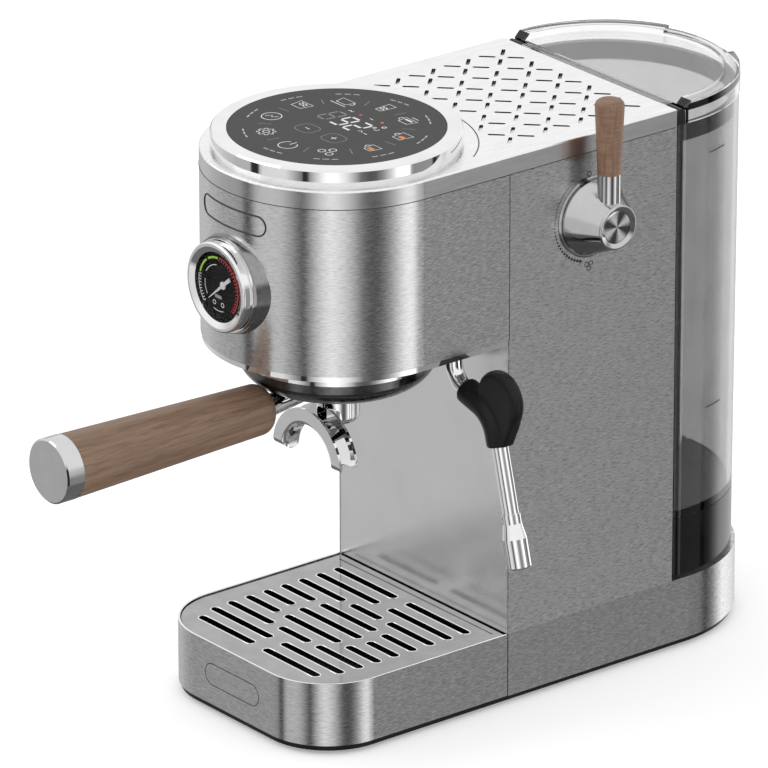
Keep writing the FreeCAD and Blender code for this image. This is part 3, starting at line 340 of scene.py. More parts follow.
looks = {
    "brushedSteel": {"grain": (290, 290, 2600), "dark": even(0.48), "light": even(0.72),
                     "rough": (0.15, 0.23), "metal": 1.0, "bump": 0.012},
    # painted shade: the side panels are a darker copy of the head's brushed steel
    "brushedSideShaded": {"grain": (290, 290, 2600), "dark": even(0.34), "light": even(0.60),
                    "rough": (0.26, 0.34), "metal": 1.0, "bump": 0.012},
    "brushedBase": {"grain": (290, 290, 2600), "dark": even(0.40), "light": even(0.62),
                    "rough": (0.15, 0.23), "metal": 1.0, "bump": 0.012},
    # painted light: the cover is a paler copy of the head's brushed steel
    "brushedCoverLit": {"grain": (420, 60, 420), "dark": even(0.84), "light": even(0.92),
                     "rough": (0.20, 0.26), "metal": 1.0},
    "polishedSteel": {"grain": (30, 30, 30), "dark": even(0.85), "light": even(0.89),
                      "rough": (0.20, 0.25), "metal": 1.0},
    # painted shade: polished steel made dark so that it reflects less of the bright top
    "grilleSteelShaded": {"grain": (90, 90, 90), "dark": even(0.34), "light": even(0.40),
                    "rough": (0.06, 0.12), "metal": 1.0},
    "chrome": {"grain": (60, 60, 60), "dark": even(0.82), "light": even(0.88),
               "rough": (0.02, 0.06), "metal": 1.0},
    # painted shade: a darker copy of chrome for the lever's hub
    "hubChromeShaded": {"grain": (60, 60, 60), "dark": even(0.50), "light": even(0.56),
                  "rough": (0.05, 0.10), "metal": 1.0},
    "capChrome": {"grain": (60, 60, 60), "dark": even(0.64), "light": even(0.70),
                  "rough": (0.04, 0.08), "metal": 1.0},
    "collarChrome": {"grain": (400, 400, 400), "dark": even(0.28), "light": even(0.34),
                     "rough": (0.10, 0.16), "metal": 1.0},
    # painted shade: a darker copy of chrome for the knob's flange
    "satinChromeShaded": {"grain": (400, 400, 400), "dark": even(0.33), "light": even(0.39),
                    "rough": (0.09, 0.15), "metal": 1.0},
    "gunMetal": {"grain": (300, 300, 300), "dark": even(0.10), "light": even(0.15),
                 "rough": (0.18, 0.26), "metal": 1.0},
    "blackPlastic": {"grain": (1400, 1400, 1400), "dark": even(0.005), "light": even(0.010),
                     "rough": (0.34, 0.46), "bump": 0.10, "sockets": {"Specular IOR Level": 0.22}},
    "glossBlack": {"grain": (90, 90, 90), "dark": even(0.003), "light": even(0.006),
                   "rough": (0.08, 0.14), "sockets": {"Specular IOR Level": 0.3}},
    "smokePlastic": {"grain": (50, 50, 50), "dark": even(0.42), "light": even(0.47),
                     "rough": (0.01, 0.03),
                     "sockets": {"Transmission Weight": 1.0, "IOR": 1.46}},
    "darkCollar": {"grain": (120, 120, 120), "dark": even(0.012), "light": even(0.020),
                   "rough": (0.10, 0.16), "sockets": {"Specular IOR Level": 0.3}},
    "clearLid": {"grain": (60, 60, 60), "dark": even(0.86), "light": even(0.90),
                 "rough": (0.02, 0.05),
                 "sockets": {"Transmission Weight": 1.0, "IOR": 1.47}},
    "dialGlass": {"grain": (700, 700, 700), "dark": even(0.094), "light": even(0.102),
                  "rough": (0.32, 0.38), "sockets": {"Specular IOR Level": 0.0}},
    "gaugeLens": {"grain": (80, 80, 80), "dark": even(0.01), "light": even(0.02),
                  "rough": (0.01, 0.03), "sockets": {"Alpha": 0.08}},
    "gaugeBlack": {"grain": (900, 900, 900), "dark": even(0.004), "light": even(0.007),
                   "rough": (0.45, 0.55), "sockets": {"Specular IOR Level": 0.15}},
    "ventSteel": {"grain": (300, 300, 300), "dark": even(0.70), "light": even(0.80),
                  "rough": (0.22, 0.30), "metal": 1.0},
    "seamShade": {"grain": (900, 900, 900), "dark": even(0.03), "light": even(0.06),
                  "rough": (0.40, 0.50), "sockets": {"Specular IOR Level": 0.1}},
    "needleWhite": {"grain": (900, 900, 900), "dark": even(0.74), "light": even(0.82),
                    "rough": (0.40, 0.50)},
    "walnut": {"grain": (330, 15, 330), "detail": 4.0, "dark": (0.190, 0.115, 0.074),
               "light": (0.277, 0.179, 0.119), "rough": (0.42, 0.55), "bump": 0.06,
               "fleck": (1500, 60, 1500), "fleckTone": (0.76, 0.72, 0.69)},
    "redWood": {"grain": (150, 150, 1500), "detail": 4.0, "dark": (0.186, 0.105, 0.065),
                "light": (0.277, 0.163, 0.100), "rough": (0.44, 0.58), "bump": 0.06,
                "fleck": (900, 900, 60), "fleckTone": (0.80, 0.76, 0.73)},
    "softBlack": {"grain": (1600, 1600, 1600), "dark": even(0.004), "light": even(0.008),
                  "rough": (0.30, 0.40), "bump": 0.10, "relief": 0.0001,
                  "sockets": {"Specular IOR Level": 0.25}},
    "sealRubber": {"grain": (900, 900, 900), "dark": even(0.014), "light": even(0.022),
                   "rough": (0.60, 0.75), "bump": 0.12},
    "stainless": {"grain": (500, 500, 500), "dark": even(0.55), "light": even(0.66),
                  "rough": (0.22, 0.32), "metal": 1.0, "edge": 0.0003},
    "castAluminium": {"grain": (700, 700, 700), "dark": even(0.50), "light": even(0.62),
                      "rough": (0.40, 0.55), "metal": 1.0, "bump": 0.18},
    "brass": {"grain": (400, 400, 400), "dark": (0.55, 0.40, 0.16), "light": (0.68, 0.50, 0.22),
              "rough": (0.24, 0.34), "metal": 1.0},
    "coilGrey": {"grain": (600, 600, 600), "dark": even(0.10), "light": even(0.16),
                 "rough": (0.45, 0.60), "bump": 0.10},
    "boardGreen": {"grain": (400, 400, 400), "dark": (0.012, 0.075, 0.030),
                   "light": (0.020, 0.110, 0.048), "rough": (0.35, 0.45)},
    "hoseClear": {"grain": (300, 300, 300), "dark": even(0.55), "light": even(0.68),
                  "rough": (0.30, 0.42)},
    "printWhite": {"grain": (900, 900, 900), "dark": even(0.74), "light": even(0.84),
                   "rough": (0.45, 0.55)},
    "printDim": {"grain": (900, 900, 900), "dark": even(0.20), "light": even(0.27),
                 "rough": (0.45, 0.55)},
    "printSoft": {"grain": (900, 900, 900), "dark": even(0.40), "light": even(0.50),
                  "rough": (0.45, 0.55)},
    "printAmber": {"grain": (900, 900, 900), "dark": (0.60, 0.17, 0.035),
                   "light": (0.76, 0.27, 0.07), "rough": (0.45, 0.55)},
    "printRed": {"grain": (900, 900, 900), "dark": (0.52, 0.022, 0.022),
                 "light": (0.66, 0.040, 0.036), "rough": (0.45, 0.55)},
    "printGreen": {"grain": (900, 900, 900), "dark": (0.20, 0.40, 0.030),
                   "light": (0.28, 0.52, 0.055), "rough": (0.45, 0.55)},
    "printBlack": {"grain": (900, 900, 900), "dark": even(0.006), "light": even(0.012),
                   "rough": (0.35, 0.45)},
}
finishes = {name: makeFinish(name, look) for name, look in looks.items()}


# the lever's cap: painted reflection, light and dark wedges in rays about its own axis that stand in for
# the glints of a spun disc
capGlints = {
    "axis": (22.2, 276.0),
    "rays": 4,
    "swing": (-0.7, 0.9),
    "dark": 0.10,
    "light": 1.0,
    "look": {"grain": (900, 900, 900), "dark": even(0.62), "light": even(0.74),
             "rough": (0.20, 0.28), "metal": 1.0},
}


def makeCapGlints():
    finish = makeFinish("capSteelPaintedGlints", capGlints["look"])
    tree = finish.node_tree
    x, y, z = placeOn(tree)
    across = sums(tree, "SUBTRACT", y, capGlints["axis"][0] * mm)
    upward = sums(tree, "SUBTRACT", z, capGlints["axis"][1] * mm)
    angle = sums(tree, "ARCTAN2", upward, across)
    rays = sums(tree, "SINE", sums(tree, "MULTIPLY", angle, capGlints["rays"]), 0.0)
    # painted reflection: the base colour swings from dark to light, wedge by wedge
    tone = spread(tree, rays, *capGlints["swing"], capGlints["dark"], capGlints["light"])
    tree.links.new(tone, tree.nodes["Principled BSDF"].inputs["Base Color"])
    return finish


finishes["capSteelPaintedGlints"] = makeCapGlints()

# painted shade: the cover's cut walls in the vents are painted dark, and its upright rim is painted as
# grey as the head's wall, darker than its top
coverShade = {
    "top": 324.05,
    "halfWidth": 70.0,
    "front": -100.0,
    "back": 80.0,
    "tone": 0.10,
    "sideTop": 323.2,
    "rimShadeTone": 0.62,
}


def paintCoverShade():
    tree = finishes["brushedCoverLit"].node_tree
    skin = tree.nodes["Principled BSDF"]
    tone = skin.inputs["Base Color"].links[0].from_socket
    x, y, z = placeOn(tree)
    # painted shade in the vents' cut walls, below the cover's top
    cut = sums(tree, "LESS_THAN", z, coverShade["top"] * mm)
    for kind, where, limit in (("LESS_THAN", sums(tree, "ABSOLUTE", x, 0.0), coverShade["halfWidth"]),
                               ("GREATER_THAN", y, coverShade["front"]),
                               ("LESS_THAN", y, coverShade["back"])):
        cut = sums(tree, "MULTIPLY", cut, sums(tree, kind, where, limit * mm))
    # painted shade on the cover's upright rim
    shadedRim = sums(tree, "LESS_THAN", z, coverShade["sideTop"] * mm)
    side = mixColour(tree, shadedRim, tone, grey(coverShade["rimShadeTone"]))
    tree.links.new(mixColour(tree, cut, side, grey(coverShade["tone"])), skin.inputs["Base Color"])


paintCoverShade()

worn = {
    "brushedSteel": ["head_shell"],
    "brushedSideShaded": ["side_panel_right", "side_panel_left"],
    "brushedBase": ["base_band", "tray_band"],
    "brushedCoverLit": ["top_cover"],
    "polishedSteel": ["splash_panel"],
    "grilleSteelShaded": ["drip_grille"],
    "chrome": ["head_floor", "control_bezel", "gauge_bezel", "group_ring", "portafilter_body",
               "pour_spout", "wand_tube", "wand_nozzle", "wand_socket"],
    "capChrome": ["handle_cap"],
    "hubChromeShaded": ["lever_hub"],
    "collarChrome": ["gauge_collar"],
    "satinChromeShaded": ["knob_flange"],
    "gunMetal": ["lock_ring"],
    "capSteelPaintedGlints": ["lever_cap"],
    "blackPlastic": ["base_plate", "back_panel", "tray_tub", "cord_gland", "gauge_case", "tank_inlet",
                     "tank_valve", "inner_frame"],
    "glossBlack": ["tank_seat"],
    "smokePlastic": ["tank_shell"],
    "darkCollar": ["tank_collar"],
    "clearLid": ["tank_lid"],
    "dialGlass": ["control_glass"],
    "gaugeLens": ["gauge_lens"],
    "gaugeBlack": ["gauge_face"],
    "needleWhite": ["gauge_needle"],
    "walnut": ["handle_grip"],
    "redWood": ["lever_grip"],
    "softBlack": ["wand_grip"],
    "sealRubber": ["rubber_feet", "group_gasket", "pump_saddle"],
    "stainless": ["filter_basket", "shower_screen", "shower_screw", "valve_stem"],
    "castAluminium": ["heating_block", "group_head"],
    "brass": ["steam_valve", "steam_pipes"],
    "coilGrey": ["pump", "solenoid_valve"],
    "boardGreen": ["power_board", "control_board"],
    "hoseClear": ["inlet_hose", "pressure_hose"],
}
for finishName, wearers in worn.items():
    for node in wearers:
        dress(nodes[node], finishes[finishName])
bare = sorted(set(nodes) - {node for wearers in worn.values() for node in wearers})
print("finishes on", len(nodes) - len(bare), "nodes, without one:", bare)


# printed lines: runs of points are swept to thin bars, then pressed flat on their surface
def drawLines(name, runs, width, finish, body, press=None, seat=None, proud=0.18):
    clearSelection()
    bpy.ops.curve.primitive_bezier_curve_add()
    drawing = bpy.context.object
    drawing.name = name
    drawing.data.splines.clear()
    for points, closed in runs:
        run = drawing.data.splines.new("POLY")
        run.points.add(len(points) - 1)
        for spot, at in zip(run.points, points):
            spot.co = (*at, 1.0)
        run.use_cyclic_u = closed
    drawing.data.dimensions = "3D"
    drawing.data.bevel_depth = width / 2
    drawing.data.bevel_resolution = 1
    drawing.data.use_fill_caps = True
    bpy.ops.object.convert(target="MESH")
    drawing = bpy.context.object
    if press is not None:  # flatten along one axis about the surface
        thin = [1.0, 1.0, 1.0]
        thin[press] = proud
        place = [0.0, 0.0, 0.0]
        place[press] = seat
        bpy.ops.object.mode_set(mode="EDIT")
        bpy.ops.mesh.select_all(action="SELECT")
        bpy.ops.transform.resize(value=thin, center_override=place)
        bpy.ops.object.mode_set(mode="OBJECT")
    dress(drawing, finishes[finish])
    bpy.ops.object.shade_smooth_by_angle(angle=smoothAngle)
    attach(drawing, body)


def roundRun(cx, cy, rx, ry, start=0.0, end=360.0, steps=28):
    whole = abs(end - start) > 359.9
    count = steps if whole else steps + 1
    turns = [math.radians(start + (end - start) * i / steps) for i in range(count)]
    return [(cx + rx * math.cos(t), cy + ry * math.sin(t)) for t in turns], whole


def stadium(length, radius, steps=12):
    half = length / 2 - radius
    right = [(half + radius * math.cos(a), radius * math.sin(a))
             for a in [math.radians(-90 + 180 * i / steps) for i in range(steps + 1)]]
    left = [(-x, -y) for x, y in right]
    bars = 10  # extra points along the straight sides, so that the line can wrap a round wall
    top = [(half - 2 * half * i / bars, radius) for i in range(1, bars)]
    foot = [(-x, -y) for x, y in top]
    return right + top + left + foot, True


# touch panel: keys, dividers and plain icons of our own on the glass
dial = {
    "centre": (0.0, -95.25),
    "top": 333.8,
    "iconRing": 39.0,
    "firstIcon": -81.0,
    "divider": (35.6, 43.2),
    "dash": 51.0,
    "dashShift": 5.58,
    "dashHalf": 2.0,
    "iconScale": 1.22,
    "minusKey": (-7.6, -14.2),
    "plusKey": (13.4, -12.6),
    "keySize": (13.6, 11.4),
    "digitSize": (7.4, 14.0),
    "digitSlant": 0.16,
    "digitTrim": 0.85,
    "digitFoot": 1.6,
    "sign": 1.9,
    "keyRound": 0.62,
    "keySteps": 40,
}


def mugRuns(width, height, handleSide):
    w, h = width / 2, height / 2
    body = [(-w, h), (-0.72 * w, -h), (0.72 * w, -h), (w, h)]
    start = -75 if handleSide > 0 else 105
    ear = roundRun(handleSide * w * 0.9, 0.1 * h, 1.7, 1.5, start, start + 150, 10)
    return [(body, True), ear]


def iconRuns():
    wave = [(-2.4 + 0.4 * i, 0.7 * math.sin(i * 1.05)) for i in range(13)]
    tall = [(-2.6, 4.2), (-1.8, -4.2), (1.8, -4.2), (2.6, 4.2)]
    jug = [(-4.4, 3.2), (-3.4, -3.4), (3.4, -3.4), (4.4, 3.2)]
    gear = []
    for step in range(32):
        a = math.radians(360 * step / 32)
        r = 4.3 if step % 4 in (0, 1) else 3.2
        gear.append((r * math.cos(a), r * math.sin(a)))
    return [
        [roundRun(0, 0, 4.3, 4.3, 122, 418, 26), ([(0, 1.0), (0, 5.2)], False)],
        [roundRun(0, 2.5, 1.7, 1.7, steps=14), roundRun(-2.6, -1.6, 1.7, 1.7, steps=14),
         roundRun(2.6, -1.6, 1.7, 1.7, steps=14)],
        mugRuns(6.4, 6.0, -1),
        mugRuns(7.2, 7.2, -1),
        mugRuns(8.4, 5.4, -1) + [([(-2.0, 4.6), (2.4, 4.6)], False)],
        [(tall, True), ([(x * 0.8, y) for x, y in wave], False),
         ([(x * 0.7, y - 1.9) for x, y in wave], False)],
        mugRuns(9.0, 5.0, 1) + [([(-5.2, -4.2), (5.2, -4.2)], False)],
        [(jug, True), (wave, False), ([(x, y + 1.7) for x, y in wave], False)],
        [roundRun(0, 0, 4.6, 4.6), ([(-2.4, -1.8), (-0.8, 1.0), (0.9, -0.6), (2.4, 2.0)], False)],
        [(gear, True), roundRun(0, 0, 1.5, 1.5, steps=14)],
    ]


def digitRuns(lit, left):
    w, h = dial["digitSize"]
    corner = {"tl": (0, h), "tr": (w, h), "ml": (0, h / 2), "mr": (w, h / 2),
              "bl": (0, 0), "br": (w, 0)}
    bars = {"a": ("tl", "tr"), "b": ("tr", "mr"), "c": ("mr", "br"), "d": ("bl", "br"),
            "e": ("ml", "bl"), "f": ("tl", "ml"), "g": ("ml", "mr")}
    runs = []
    for bar in lit:
        (x0, y0), (x1, y1) = (corner[c] for c in bars[bar])
        span = math.hypot(x1 - x0, y1 - y0)
        trim = dial["digitTrim"] / span
        ends = [(x0 + (x1 - x0) * t, y0 + (y1 - y0) * t) for t in (trim, 1 - trim)]
        runs.append(([(left + x + dial["digitSlant"] * y, dial["digitFoot"] + y) for x, y in ends], False))
    return runs


def onDial(runs):
    cx, cy = dial["centre"]
    return [([((cx + x) * mm, (cy + y) * mm, dial["top"] * mm) for x, y in points], closed)
            for points, closed in runs]


def moved(runs, dx, dy):
    return [([(x + dx, y + dy) for x, y in points], closed) for points, closed in runs]


def softTurn(value):
    return math.copysign(abs(value) ** dial["keyRound"], value)


def makeDial():
    icons, dividers, dashes = [], [], []
    for index, icon in enumerate(iconRuns()):
        middle = dial["firstIcon"] + 36 * index
        angle = math.radians(middle)
        r, size = dial["iconRing"], dial["iconScale"]
        icon = [([(x * size, y * size) for x, y in points], closed) for points, closed in icon]
        icons += moved(icon, r * math.cos(angle), r * math.sin(angle))
        half = angle + math.radians(18)
        dividers.append(([(q * math.cos(half), q * math.sin(half)) for q in dial["divider"]], False))
        for side in (-1, 0, 1):  # three short dashes outside each icon
            at = middle + side * dial["dashShift"]
            dashes.append(roundRun(0, 0, dial["dash"], dial["dash"], at - dial["dashHalf"],
                                   at + dial["dashHalf"], 4))
    keys = []
    w, h = dial["keySize"]
    sign = dial["sign"]
    for place, cross in ((dial["minusKey"], False), (dial["plusKey"], True)):
        outline = []
        for i in range(dial["keySteps"]):  # soft square
            a = 2 * math.pi * i / dial["keySteps"]
            outline.append((softTurn(math.cos(a)) * w / 2, softTurn(math.sin(a)) * h / 2))
        keys += moved([(outline, True)], *place)
        icons += moved([([(-sign, 0), (sign, 0)], False)], *place)
        if cross:
            icons += moved([([(0, -sign), (0, sign)], False)], *place)
    digits = digitRuns("abcdfg", -8.6) + digitRuns("abdeg", 2.4)
    ghost = digitRuns("abcdefg", -20.0)
    small = [roundRun(14.6, 14.6, 0.9, 0.9, steps=10),
             ([(16.6, 12.4), (18.6, 12.4), (18.6, 14.8)], False),
             ([(12.6, 4.6), (14.2, 6.2), (15.8, 4.6)], False), ([(17.2, 4.8), (20.2, 4.8)], False),
             ([(-15.8, 20.4), (-14.6, 21.6), (-13.4, 20.4), (-12.2, 21.6)], False),
             ([(1.6, 21.6), (4.6, 21.6)], False), roundRun(17.6, 18.8, 1.2, 1.2, steps=10)]
    amber = [([(37.0, -7.2), (41.2, -7.2)], False), ([(33.8, 16.6), (38.6, 16.6)], False)]
    glow = [roundRun(11.0, 22.6, 0.45, 0.45, steps=10)]
    cream = [([(14.6, 36.0), (20.6, 36.0)], False)]
    red = [roundRun(-5.8, 21.2, 0.5, 0.5, steps=10)]
    for name, runs, width, finish in (
            ("dialIcons", icons, 0.55, "printWhite"),
            ("dialDividers", dividers + keys, 0.42, "printDim"),
            ("dialDashes", dashes, 0.9, "printSoft"),
            ("dialDigits", digits, 1.5, "printWhite"),
            ("dialGhostDigit", ghost, 1.1, "printDim"),
            ("dialSmallMarks", small, 0.6, "printWhite"),
            ("dialAmberMarks", amber, 2.8, "printAmber"),
            ("dialCreamMark", cream, 1.5, "printWhite"),
            ("dialAmberDot", glow, 1.1, "printAmber"),
            ("dialRedMark", red, 1.2, "printRed")):
        drawLines(name, onDial(runs), width * mm, finish, "machine", press=2,
                  seat=dial["top"] * mm)


makeDial()
print("touch panel drawn")

# pressure gauge: a plain scale in white, green and red
gauge = {
    "centre": (0.0, 260.4),
    "face": -177.05,  # the scale is printed on the lens, so the rim hides little of it
    "scale": 16.6,
    "tick": (15.2, 16.8),
    "white": (222, 168),
    "green": ((164, 128), (122, 91)),
    "red": (86, -42),
    "arcs": ((12.4, 150, 96), (11.8, 214, 172), (13.8, 252, 288)),
    "ring": (3.6, -9.6, 1.2),
    "plate": (2.8, -5.6),
}


def onGauge(runs):
    cx, cz = gauge["centre"]
    return [([((cx + x) * mm, gauge["face"] * mm, (cz + z) * mm) for x, z in points], closed)
            for points, closed in runs]


def makeGauge():
    def ticks(first, last, gap):
        count = int(abs(first - last) / gap)
        spokes = []
        for i in range(count + 1):
            a = math.radians(first + (last - first) * i / count)
            spokes.append(([(r * math.cos(a), r * math.sin(a)) for r in gauge["tick"]], False))
        return spokes

    r = gauge["scale"]
    white = ticks(*gauge["white"], 6) + [roundRun(0, 0, r + 0.6, r + 0.6, *gauge["white"])]
    white += [roundRun(0, 0, size, size, first, last) for size, first, last in gauge["arcs"]]
    across, up, size = gauge["ring"]
    white += [roundRun(x, up, size, size, steps=16) for x in (-across, across)]
    green = [roundRun(0, 0, r, r, *part) for part in gauge["green"]]
    redRim = [roundRun(0, 0, r + 0.7, r + 0.7, *gauge["red"], 40)]
    half, up = gauge["plate"]
    for name, runs, width, finish in (
            ("gaugeWhite", white, 0.38, "printWhite"),
            ("gaugeGreen", green, 1.4, "printGreen"),
            ("gaugeRed", ticks(*gauge["red"], 7), 0.55, "printRed"),
            ("gaugeRedRim", redRim, 0.5, "printRed"),
            ("gaugePlate", [([(-half, up), (half, up)], False)], 2.2, "printDim")):
        drawLines(name, onGauge(runs), width * mm, finish, "machine", press=1,
                  seat=gauge["face"] * mm)


makeGauge()
print("gauge drawn")

# plain plates: a black outline on the head, a pressed one on the tray
plates = {
    "headRadius": 75.0,
    "headAxis": (0.0, -95.25),
    "headHeight": 299.5,
    "headSize": (55.0, 5.7),
    "headLine": 1.0,
    "trayFront": -170.25,
    "trayHeight": 24.0,
    "traySize": (48.0, 6.4),
    "trayLine": 0.7,
}


def makePlates():
    points, closed = stadium(*plates["headSize"])
    cx, cy = plates["headAxis"]
    r = plates["headRadius"]
    wrapped = []
    for along, up in points:
        a = math.radians(-90) + along / r
        wrapped.append(((cx + r * math.cos(a)) * mm, (cy + r * math.sin(a)) * mm,
                        (plates["headHeight"] + up) * mm))
    drawLines("headPlate", [(wrapped, closed)], plates["headLine"] * mm, "printBlack", "machine")
    points, closed = stadium(*plates["traySize"])
    seat = plates["trayFront"] * mm
    flat = [(x * mm, seat, (plates["trayHeight"] + z) * mm) for x, z in points]
    drawLines("trayPlate", [(flat, closed)], plates["trayLine"] * mm, "gunMetal", "drip_tray",
              press=1, seat=seat)


makePlates()
print("plates outlined")

# steam scale beside the lever: growing dots, a thin line, a ring for closed and three puffs for open
steamScale = {
    "wall": 75.0,
    "centre": (22.2, 276.0),
    "radius": 25.8,
    "dots": (183.0, 253.0, 15),
    "dotSize": (1.0, 2.1),
    "arc": (179.0, 128.0),
    "closed": (20.7, 300.9),
    "open": (20.6, 247.6),
    "puffs": ((0.0, -1.7), (-1.5, 0.9), (1.6, 1.0)),
    "signSize": 1.3,
    "dotSunk": 0.05,
    "dotProud": 0.08,
}


def onWall(points):
    return [(steamScale["wall"] * mm, y * mm, z * mm) for y, z in points]


def makeSteamScale():
    wall = steamScale["wall"] * mm
    cy, cz = steamScale["centre"]
    r = steamScale["radius"]
    size = steamScale["signSize"]
    arc = [roundRun(cy, cz, r, r, *steamScale["arc"])]
    signs = [roundRun(*steamScale["closed"], size, size, steps=18)]
    y, z = steamScale["open"]
    signs += [roundRun(y + dy, z + dz, size, size, steps=14) for dy, dz in steamScale["puffs"]]
    for name, runs, width in (("steamArc", arc, 0.4), ("steamSigns", signs, 0.6)):
        drawLines(name, [(onWall(points), closed) for points, closed in runs], width * mm, "printBlack",
                  "machine", press=0, seat=wall)
    first, last, count = steamScale["dots"]
    small, large = steamScale["dotSize"]
    for i in range(count):
        share = i / (count - 1)
        a = math.radians(first + (last - first) * share)
        y, z = (cy + r * math.cos(a)) * mm, (cz + r * math.sin(a)) * mm
        dot = [(wall - steamScale["dotSunk"] * mm, y, z), (wall + steamScale["dotProud"] * mm, y, z)]
        drawLines("steamDot%02d" % (i + 1), [(dot, False)], (small + (large - small) * share) * mm,
                  "printBlack", "machine")


makeSteamScale()
print("steam scale drawn")

# water level: moulded ticks on the tank's right side
level = {
    "axis": (0.0, 95.25),
    "bottom": (78.6, 72.7),
    "top": (313.6, 73.8),
    "heights": (140.0, 292.0),
    "span": (11.0, 22.0),
    "line": 0.7,
}


def makeLevel():
    runs = []
    (z0, r0), (z1, r1) = level["bottom"], level["top"]
    for z in level["heights"]:
        r = r0 + (r1 - r0) * (z - z0) / (z1 - z0)
        points, closed = roundRun(*level["axis"], r, r, *level["span"], 8)
        runs.append(([(x * mm, y * mm, z * mm) for x, y in points], closed))
    drawLines("tankTicks", runs, level["line"] * mm, "darkCollar", "water_tank")


makeLevel()
print("tank marks drawn")

# lid: painted shade, a dark line drawn along each of the rim's two upper edges
lidRim = {
    "axis": (0.0, 95.25),
    "top": 326.3,
    "runs": [(73.8, 3.0, 66.0), (73.8, 114.0, 177.0), (65.8, 3.0, 177.0)],  # radius, from, to
    "line": 0.55,
}


def makeLidRimShade():
    runs = []
    for r, first, last in lidRim["runs"]:
        points, closed = roundRun(*lidRim["axis"], r, r, first, last, 40)
        runs.append(([(x * mm, y * mm, lidRim["top"] * mm) for x, y in points], closed))
    # painted shade: dark lines along the rim's edges
    drawLines("lidRimLines", runs, lidRim["line"] * mm, "printDim", "lid", press=2,
              seat=lidRim["top"] * mm)


makeLidRimShade()
print("lid rim drawn")

# steam wand's grip: the moulded rubber flows together instead of meeting at edges
grip = {"weld": 0.00001, "voxel": 0.0007, "smooth": 0.6, "rounds": 18}


def makeGrip():
    clearSelection()
    source = nodes["wand_grip"]
    soft = source.copy()
    soft.data = source.data.copy()
    soft.name = "softGrip"
    for key in list(soft.keys()):
        del soft[key]
    soft.parent = None
    bpy.context.scene.collection.objects.link(soft)
    bpy.context.view_layer.objects.active = soft
    soft.select_set(True)
    bpy.ops.object.mode_set(mode="EDIT")
    bpy.ops.mesh.select_all(action="SELECT")
    bpy.ops.mesh.remove_doubles(threshold=grip["weld"])
    bpy.ops.object.mode_set(mode="OBJECT")
    cast = soft.modifiers.new("cast", "REMESH")
    cast.mode = "VOXEL"
    cast.voxel_size = grip["voxel"]
    ease = soft.modifiers.new("ease", "SMOOTH")
    ease.factor = grip["smooth"]
    ease.iterations = grip["rounds"]
    bpy.ops.object.modifier_apply(modifier="cast")
    bpy.ops.object.modifier_apply(modifier="ease")
    bpy.ops.object.shade_smooth()
    dress(soft, finishes["softBlack"])
    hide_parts("wand_grip")
    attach(soft, "steam_wand")


makeGrip()
print("wand grip moulded")

# drip grille: a raised lip round each slot
lips = {
    "top": 41.9,
    "slotWidth": 5.0,
    "offset": 0.35,
    "line": 0.8,
    "rows": [  # y, then the outer pair's inner and outer ends, then half of the middle slot
        (-50.75, 5.0, 59.0, 0.0), (-63.3, 5.0, 59.0, 0.0), (-75.85, 19.65, 59.0, 13.05),
        (-88.4, 30.53, 59.0, 23.93), (-100.95, 33.3, 59.0, 26.7), (-113.5, 30.57, 59.0, 23.97),
        (-126.05, 19.81, 59.0, 13.21), (-138.6, 5.0, 58.09, 0.0), (-151.15, 5.0, 52.89, 0.0),
    ],
}


def makeLips():
    runs = []
    top = lips["top"] * mm
    radius = lips["slotWidth"] / 2 + lips["offset"]
    for y, inner, outer, centre in lips["rows"]:
        spans = [(inner, outer), (-outer, -inner)] + ([(-centre, centre)] if centre else [])
        for x0, x1 in spans:
            points, closed = stadium(x1 - x0 + 2 * lips["offset"], radius, 10)
            middle = (x0 + x1) / 2
            runs.append(([((middle + x) * mm, (y + across) * mm, top) for x, across in points], closed))
    drawLines("slotLips", runs, lips["line"] * mm, "chrome", "grille",
              press=2, seat=top, proud=0.55)


makeLips()
print("grille lips raised")

# drip tray: a polished line on its upper edge
trayRim = {"half": 74.4, "front": -169.65, "back": -36.6, "corner": 39.4, "top": 42.7, "line": 1.1}


def makeTrayRim():
    half, front, corner = trayRim["half"], trayRim["front"], trayRim["corner"]
    right = roundRun(half - corner, front + corner, corner, corner, 0.0, -90.0, 20)[0]
    left = roundRun(corner - half, front + corner, corner, corner, -90.0, -180.0, 20)[0]
    path = [(half, trayRim["back"])] + right + left + [(-half, trayRim["back"])]
    top = trayRim["top"] * mm
    drawLines("trayRimLine", [([(x * mm, y * mm, top) for x, y in path], False)], trayRim["line"] * mm,
              "chrome", "drip_tray", press=2, seat=top, proud=0.15)


makeTrayRim()
print("tray rim polished")


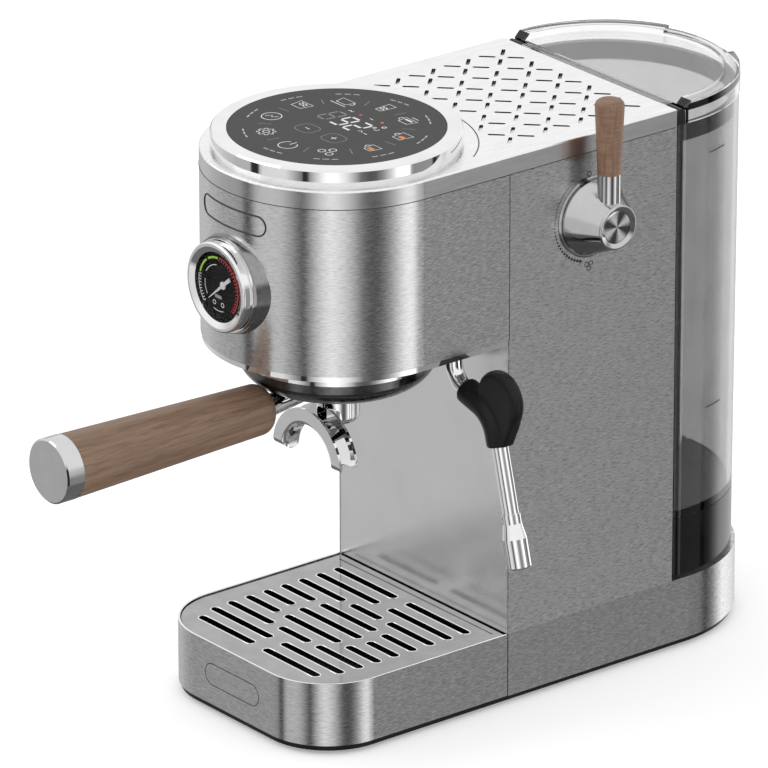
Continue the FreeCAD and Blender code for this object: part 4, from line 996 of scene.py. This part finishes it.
# plain bars: a cube set to two corners, its edges rounded
def roundedBar(name, low, high, edge, finish, body):
    clearSelection()
    size = [(b - a) * mm for a, b in zip(low, high)]
    middle = [(a + b) / 2 * mm for a, b in zip(low, high)]
    bpy.ops.mesh.primitive_cube_add(size=1.0, location=middle, scale=size)
    bar = bpy.context.object
    bar.name = name
    bpy.ops.object.transform_apply(location=True, rotation=True, scale=True)
    soften = bar.modifiers.new("soften", "BEVEL")
    soften.width = edge * mm
    soften.segments = 3
    bpy.ops.object.modifier_apply(modifier="soften")
    bpy.ops.object.shade_smooth_by_angle(angle=smoothAngle)
    dress(bar, finishes[finish])
    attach(bar, body)


# a bright sheet under the vents, and painted shade: dark ribs in the tank's front corners, standing in for
# the shade there
backing = {"low": (-64.0, -34.0, 322.1), "high": (64.0, 78.0, 322.95), "edge": 0.3}
tankShadeRibs = {"inner": 67.4, "outer": 69.4, "front": 86.6, "back": 92.6, "foot": 82.8, "head": 302.8,
        "edge": 0.8}
roundedBar("ventBacking", backing["low"], backing["high"], backing["edge"], "ventSteel", "machine")
# painted shade: dark bars in the tank's front corners
for ribName, ribLeft, ribRight in (("tankRibRight", tankShadeRibs["inner"], tankShadeRibs["outer"]),
                                   ("tankRibLeft", -tankShadeRibs["outer"], -tankShadeRibs["inner"])):
    roundedBar(ribName, (ribLeft, tankShadeRibs["front"], tankShadeRibs["foot"]), (ribRight, tankShadeRibs["back"], tankShadeRibs["head"]),
               tankShadeRibs["edge"], "darkCollar", "water_tank")
print("backing sheet and tank ribs set")

# seams between cover, head and side panel
seams = {"wall": 75.0, "axisY": -95.25, "bowEnd": -168.0, "back": 82.0, "cover": 313.6, "joint": -35.25,
         "foot": 217.4, "line": 0.45}


def makeSeams():
    r, y = seams["wall"], seams["axisY"]
    bow, closed = roundRun(0.0, y, r, r, 0.0, seams["bowEnd"], 60)
    rim = [(x * mm, at * mm, seams["cover"] * mm) for x, at in [(r, seams["back"])] + bow]
    joint = [(r * mm, seams["joint"] * mm, z * mm) for z in (seams["foot"], seams["cover"])]
    drawLines("shellSeams", [(rim, closed), (joint, False)], seams["line"] * mm, "seamShade", "machine")


makeSeams()
print("seams drawn")
